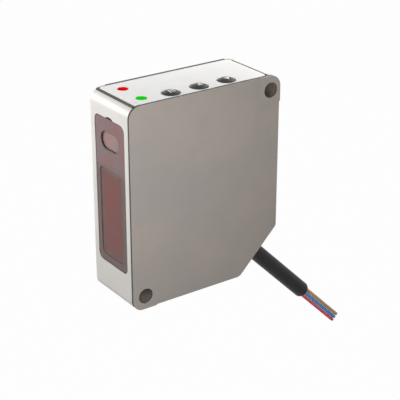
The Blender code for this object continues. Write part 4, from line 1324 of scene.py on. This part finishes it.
@dataclass
class TopPanel:
    """White top panel with its three keys and two lamps."""

    casting: Casting
    x: Pair = (0.95, 19.2)
    y: Pair = (2.5, 46.05)
    z: Pair = (59.2, 60.0)
    seal_top: float = 59.76
    rib_x: float = 0.08
    rib_y: Pair = (5.0, 45.05)
    rear_rib_x: float = 2.4
    rib_top: float = 60.02
    seal_fit: float = 0.03
    front_radius: float = 0.65
    rear_radius: float = 1.3
    edge_round: float = 0.1
    key_x: float = 16.05
    key_rows: tuple[float, ...] = (15.9, 25.1, 34.3)
    key_hole: float = 2.7
    lamp_y: float = 7.1
    lamp_columns: Pair = (5.9, 15.1)
    lamp_hole: float = 1.6
    key: Dome = field(default_factory=lambda: Dome(
        radius=2.52, rim_z=60.0, crown=0.77, flange_top=58.9, flange_base=58.4, flange=0.4,
        foot=57.2, stem=1.1))
    lamp: Dome = field(default_factory=lambda: Dome(
        radius=1.4, rim_z=60.0, crown=0.12, flange_top=58.9, flange_base=58.4, flange=0.45,
        foot=55.8, stem=1.2))

    def panel(self) -> bpy.types.Object:
        """Make the panel with its five holes."""
        panel = block("panel_plate", self.x, self.y, self.z)
        for y, radius, steps in ((self.y[0], self.front_radius, 6),
                                 (self.y[1], self.rear_radius, 8)):
            round_edges(panel, along(Axis.Z, [(x, y) for x in self.x]), radius, steps)
        low, high = self.z[0] - PAST, self.z[1] + PAST
        for row in self.key_rows:
            combine(panel, rod("key_hole", Axis.Z, (self.key_x, row), self.key_hole, low, high))
        for column in self.lamp_columns:
            combine(panel, rod("lamp_hole", Axis.Z, (column, self.lamp_y), self.lamp_hole, low,
                               high, sides=40))
        ease(panel, self.edge_round)
        smooth(panel)
        dress(panel, PANEL_PLASTIC)
        return panel

    def seal(self) -> bpy.types.Object:
        """Make the seal that fills the groove round the panel and lies under its rim."""
        tub, fit = self.casting, self.seal_fit
        far, front, rear = self.x[0] - fit, self.y[0] - fit, self.y[1] + fit
        seal = tub.seat("panel_gasket", tub.rim_x - fit, (tub.seat_z + fit, self.seal_top), fit)
        plate = block("plate_room", (far, self.x[1] + PAST), (front, rear),
                      (self.z[0] - fit, self.z[1] + PAST))
        round_edges(plate, along(Axis.Z, [(far, front)]), self.front_radius, steps=6)
        round_edges(plate, along(Axis.Z, [(far, rear)]), self.rear_radius, steps=8)
        for label, x, y in (("far_rib", (self.rib_x, far), self.rib_y),
                            ("rear_rib", (self.rear_rib_x, self.x[1]),
                             (rear, tub.seat_rear - fit))):
            combine(seal, block(label, x, y, (self.z[0], self.rib_top)), join=True)
        combine(seal, plate)
        combine(seal, tub.room())
        smooth(seal)
        dress(seal, SEAL_RUBBER)
        return seal

    def build(self) -> None:
        """Make the panel, its seal, the keys and the lamps, and report each."""
        report(self.panel(), Body.SENSOR, "moulded_white", "top_panel")
        report(self.seal(), Body.SENSOR, "seal_rubber", "top_panel_seal")
        key, lamp = self.key.make("key_master"), self.lamp.make("lamp_master")
        for label, body, row, legend in zip(("mode", "up", "down"),
                                            (Body.MODE, Body.UP, Body.DOWN), self.key_rows,
                                            (Legend.MENU, Legend.UP, Legend.DOWN)):
            cap = copied(key, label + "_cap", (self.key_x, row, 0))
            dress(cap, KEY_RUBBER)
            report(cap, body, "key_rubber", label + "_key")
            mark = KeyMark(legend, self.key_x, row, self.key).make(label + "_legend")
            report(mark, body, "key_rubber")
        for label, column, finish in zip(("red", "green"), self.lamp_columns,
                                         (RED_LENS, GREEN_LENS)):
            lens = copied(lamp, label + "_lens", (column, self.lamp_y, 0))
            dress(lens, finish)
            report(lens, Body.SENSOR, label + "_lamp", label + "_light_pipe")
        for master in (key, lamp):
            bpy.data.objects.remove(master, do_unlink=True)


@dataclass
class KeyMark:
    """Printed mark on a key's dome; it reads upright from the near side."""

    legend: Legend
    x: float
    y: float
    dome: Dome
    reach: float = 1.0
    shift: Pair = (0.42, -0.05)
    bar_length: float = 1.6
    bar_width: float = 0.38
    bar_pitch: float = 0.72
    film: float = 0.03

    def flat(self, name: str) -> bpy.types.Object:
        """Make the mark's outline as flat faces above the dome.

        Args:
            name: Name of the object.

        Returns:
            The flat mark, cut up finely enough to follow the dome.
        """
        place = (self.x + self.shift[0], self.y + self.shift[1],
                 self.dome.rim_z + self.dome.crown + 1)
        if self.legend is Legend.MENU:
            bpy.ops.mesh.primitive_plane_add(size=1.0, location=metres(place))
            bpy.context.object.scale = (self.bar_length * MM, self.bar_width * MM, 1)
            mark = take_new(name)
            with editing(mark, Part.FACE):
                bpy.ops.mesh.select_all(action="SELECT")
                for shift in (-self.bar_pitch, 2 * self.bar_pitch):
                    bpy.ops.mesh.duplicate_move(
                        TRANSFORM_OT_translate={"value": (0, shift * MM, 0)})
        else:
            turn = math.pi / 2 if self.legend is Legend.UP else -math.pi / 2
            bpy.ops.mesh.primitive_circle_add(vertices=3, radius=self.reach * MM,
                                              fill_type="NGON", location=metres(place),
                                              rotation=(0, 0, turn))
            mark = take_new(name)
        with editing(mark, Part.FACE):
            bpy.ops.mesh.select_all(action="SELECT")
            bpy.ops.mesh.quads_convert_to_tris()
            bpy.ops.mesh.subdivide(number_cuts=5)
        return mark

    def make(self, name: str) -> bpy.types.Object:
        """Make the mark and lay it on the dome as a thin film of ink.

        Args:
            name: Name of the object.

        Returns:
            The finished mark.
        """
        mark = self.flat(name)
        ball, middle = self.dome.ball(self.x, self.y)
        centre = metres(middle)
        reach = (ball + self.film) * MM
        for vert in mark.data.vertices:
            flat = Vector((vert.co.x - centre.x, vert.co.y - centre.y))
            vert.co.z = centre.z + math.sqrt(reach ** 2 - flat.length_squared)
        modify(mark, "SOLIDIFY", thickness=self.film * MM, offset=-1.0)
        smooth(mark)
        dress(mark, KEY_INK)
        return mark


@dataclass
class Cable:
    """Cable out of the chamfer: the sheath, its three bare leads and the gland."""

    radius: float = 2.5
    start: float = -9.5
    end: float = 37.0
    end_round: float = 1.1
    lead_radius: float = 0.54
    lead_pitch: float = 1.13
    lead_start: float = 37.3
    lead_end: float = 57.3
    tip_round: float = 0.3
    gland_fit: float = 0.2
    gland_radius: float = 4.5
    gland_neck: float = 3.6
    gland_inner: float = -2.6
    gland_flange: float = 1.2
    gland_back: float = 1.4
    gland_length: float = 6.0
    gland_tip: float = 3.3
    gland_edge: float = 0.3

    def gland(self) -> bpy.types.Object:
        """Make the gland: two flanges that grip the chamfer wall, and a tapered boot."""
        bore, wide, neck = self.radius + self.gland_fit, self.gland_radius, self.gland_neck
        face, inner, edge = self.gland_fit, self.gland_inner, self.gland_edge
        back, flange = inner - self.gland_back, face + self.gland_flange
        tip = face + self.gland_length
        profile = [(bore, back), (wide, back), (wide, inner), (neck, inner), (neck, face),
                   (wide, face), (wide, flange - edge), (wide - edge, flange),
                   (neck + edge, flange), (self.gland_tip, tip - edge),
                   (self.gland_tip - edge, tip), (bore, tip)]
        gland = lathe("cable_boot", profile, sides=64)
        gland.location = off_chamfer(0.0)
        gland.rotation_euler = DOWN_THE_CABLE
        settle(gland)
        smooth(gland, angle=30.0)
        dress(gland, GLAND_RUBBER)
        return gland

    def tube(self, name: str, radius: float, start: float, end: float, side: float,
             cap: float, steps: int) -> bpy.types.Object:
        """Make a round tube on one smooth line, with a rounded far end.

        Args:
            name: Name of the object.
            radius: Radius of the tube.
            start: Where it starts along the cable.
            end: Where it ends.
            side: How far to the upper side of the axis.
            cap: Radius of the round at its far end.
            steps: Points before the round.

        Returns:
            The curve.
        """
        stops = [(start + (end - cap - start) * k / steps, 1.0) for k in range(steps + 1)]
        arc = 6
        for k in range(1, arc + 1):
            angle = math.pi / 2 * k / arc
            stops.append((end - cap + cap * math.sin(angle),
                          1.0 - cap / radius * (1.0 - math.cos(angle))))
        curve = bpy.data.curves.new(name, "CURVE")
        curve.dimensions = "3D"
        curve.bevel_depth = radius * MM
        curve.bevel_resolution = 10
        curve.use_fill_caps = True
        spline = curve.splines.new("POLY")
        spline.points.add(len(stops) - 1)
        for spot, (distance, share) in zip(spline.points, stops):
            spot.co = (*off_chamfer(distance, side), 1.0)
            spot.radius = share
        spline.use_smooth = True
        return link_new(name, curve)

    def build(self) -> None:
        sheath = self.tube("cable_sheath", self.radius, self.start, self.end, 0.0,
                           self.end_round, 18)
        dress(sheath, SHEATH)
        report(sheath, Body.SENSOR, "jacket_black", "cable_jacket")
        report(self.gland(), Body.SENSOR, "seal_rubber", "cable_gland")
        for label, rank, finish in (("brown", 1, BROWN_SKIN), ("blue", 0, BLUE_SKIN),
                                    ("red", -1, RED_SKIN)):
            lead = self.tube(label + "_core", self.lead_radius, self.lead_start, self.lead_end,
                             rank * self.lead_pitch, self.tip_round, 8)
            dress(lead, finish)
            report(lead, Body.SENSOR, "lead_" + label, label + "_lead")


@dataclass
class Studio:
    """Camera, lamps, floor and world, set as in the photograph."""

    azimuth: float = 54.64
    elevation: float = 24.068
    place: tuple[float, float, float] = (276.66, -184.75, 138.93)
    lens: float = 111.456
    floor_z: float = -66.0
    floor_size: float = 6000.0
    floor_colour: str = "#50504E"
    floor_light: float = 0.985
    air: float = 0.15
    # Name, place in the frame's millimetres, side in millimetres and power in watts
    lamps: tuple[tuple[str, tuple[float, float, float], float, float], ...] = (
        ("side_lamp", (110, -40, 24), 100, 0.106),
        ("front_lamp", (-60, -77, 44), 50, 0.04),
        ("fill_lamp", (-10, -106, 36), 90, 0.036),
        ("top_lamp", (6, 62, 60), 60, 0.038),
        ("far_lamp", (-190, 60, 60), 150, 0.2),
    )

    def camera(self) -> None:
        """Set the camera at the photograph's viewing angle."""
        data = bpy.data.cameras.new("camera")
        data.lens = self.lens
        data.sensor_width = 36.0
        data.clip_start = 0.01
        camera = link_new("camera", data)
        camera.location = Vector(self.place) * MM
        camera.rotation_euler = (math.radians(90 - self.elevation), 0, math.radians(self.azimuth))
        bpy.context.scene.camera = camera

    def seen_directly(self, tree: bpy.types.NodeTree) -> bpy.types.NodeSocket:
        """Add nodes that tell the rays that show a thing from those that light one.

        Args:
            tree: The material's or world's node tree.

        Returns:
            A socket that is 1 for camera, glossy and transmission rays.
        """
        path = add_node(tree, "ShaderNodeLightPath")
        seen = path.outputs["Is Camera Ray"]
        for ray in ("Is Glossy Ray", "Is Transmission Ray"):
            seen = add_node(tree, "ShaderNodeMath", {"operation": "MAXIMUM"},
                            {0: seen, 1: path.outputs[ray]}).outputs[0]
        return seen

    def floor(self) -> None:
        """Lay the pale floor, which the camera sees near white and which keeps the shadow."""
        bpy.ops.mesh.primitive_plane_add(size=self.floor_size * MM,
                                         location=(0, 0, self.floor_z * MM))
        floor = bpy.context.object
        floor.name = "studio_floor"
        paper = bpy.data.materials.new("studio_paper")
        paper.use_nodes = True
        tree = paper.node_tree
        tree.nodes.clear()
        matte = add_node(tree, "ShaderNodeBsdfDiffuse", {"Color": linear(self.floor_colour)})
        bright = add_node(tree, "ShaderNodeEmission", {"Color": (1, 1, 1, 1), "Strength": 1.0})
        share = add_node(tree, "ShaderNodeMath", {"operation": "MULTIPLY", 1: self.floor_light},
                         {0: self.seen_directly(tree)})
        mixed = add_node(tree, "ShaderNodeMixShader", {},
                         {0: share.outputs[0], 1: matte.outputs[0], 2: bright.outputs[0]})
        add_node(tree, "ShaderNodeOutputMaterial", {}, {"Surface": mixed.outputs[0]})
        floor.data.materials.append(paper)

    def lamp(self, name: str, place: Sequence[float], size: float, power: float) -> None:
        """Hang a soft square lamp that points at the sensor's middle.

        Args:
            name: Name of the lamp.
            place: Where it hangs, in the frame's millimetres.
            size: Length of its side in millimetres.
            power: Power in watts.
        """
        data = bpy.data.lights.new(name, "AREA")
        data.shape = "SQUARE"
        data.size = size * MM
        data.energy = power
        lamp = link_new(name, data)
        lamp.location = Vector(place) * MM
        lamp.rotation_euler = Vector(place).to_track_quat("Z", "Y").to_euler()
        lamp.visible_camera = False

    def world(self) -> None:
        """Fill the room with pale light, which the camera sees as white."""
        world = bpy.data.worlds.new("studio_air")
        bpy.context.scene.world = world
        world.use_nodes = True
        tree = world.node_tree
        tree.nodes.clear()
        level = add_node(tree, "ShaderNodeMapRange", {"To Min": self.air, "To Max": 1.0},
                         {"Value": self.seen_directly(tree)})
        air = add_node(tree, "ShaderNodeBackground", {"Color": (1, 1, 1, 1)},
                       {"Strength": level.outputs["Result"]})
        add_node(tree, "ShaderNodeOutputWorld", {}, {"Surface": air.outputs[0]})

    def build(self) -> None:
        """Set the whole studio."""
        self.camera()
        self.floor()
        self.world()
        for lamp in self.lamps:
            self.lamp(*lamp)
        bpy.context.scene.view_settings.view_transform = "Standard"


def dress_inside() -> None:
    """Give every solid that stays as packed its finish."""
    plain: dict[Finish, tuple[str, ...]] = {
        BLACK_MOULDING: ("optics_carrier", "lens_retainer", "mode_switch_plunger",
                         "up_switch_plunger", "down_switch_plunger"),
        CHIP_MOULDING: ("mode_switch", "up_switch", "down_switch", "image_sensor", "processor"),
        NYLON_WHITE: ("red_led", "green_led", "lead_socket", "flex_socket"),
        BOARD: ("key_board", "sensor_board", "laser_board", "main_board"),
        TURNED_BRASS: ("laser_barrel", "cable_crimp"),
        LENS_GLASS: ("receiver_lens", "collimator_lens"),
        FLEX_FILM: ("key_flex",),
        BROWN_SKIN: ("brown_inner_lead",),
        BLUE_SKIN: ("blue_inner_lead",),
        RED_SKIN: ("red_inner_lead",),
    }
    nodes = frame["nodes"]
    plain[PLATED_STEEL] = (*(name for name in nodes if "_screw" in name), "laser_diode")
    for finish, names in plain.items():
        for name in names:
            dress(nodes[name], finish)
            LOG.info("%s keeps its solid in %s", name, finish.name)


def main() -> None:
    """Set the studio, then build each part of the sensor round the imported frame."""
    logging.basicConfig(level=logging.INFO, format="%(message)s")
    Studio().build()
    Cable().build()
    outline = BodyOutline()
    window = Window()
    casting = Casting(outline, window)
    casting.build()
    Cover(casting).build()
    window.build()
    TopPanel(casting).build()
    dress_inside()


if __name__ == "__main__":
    main()
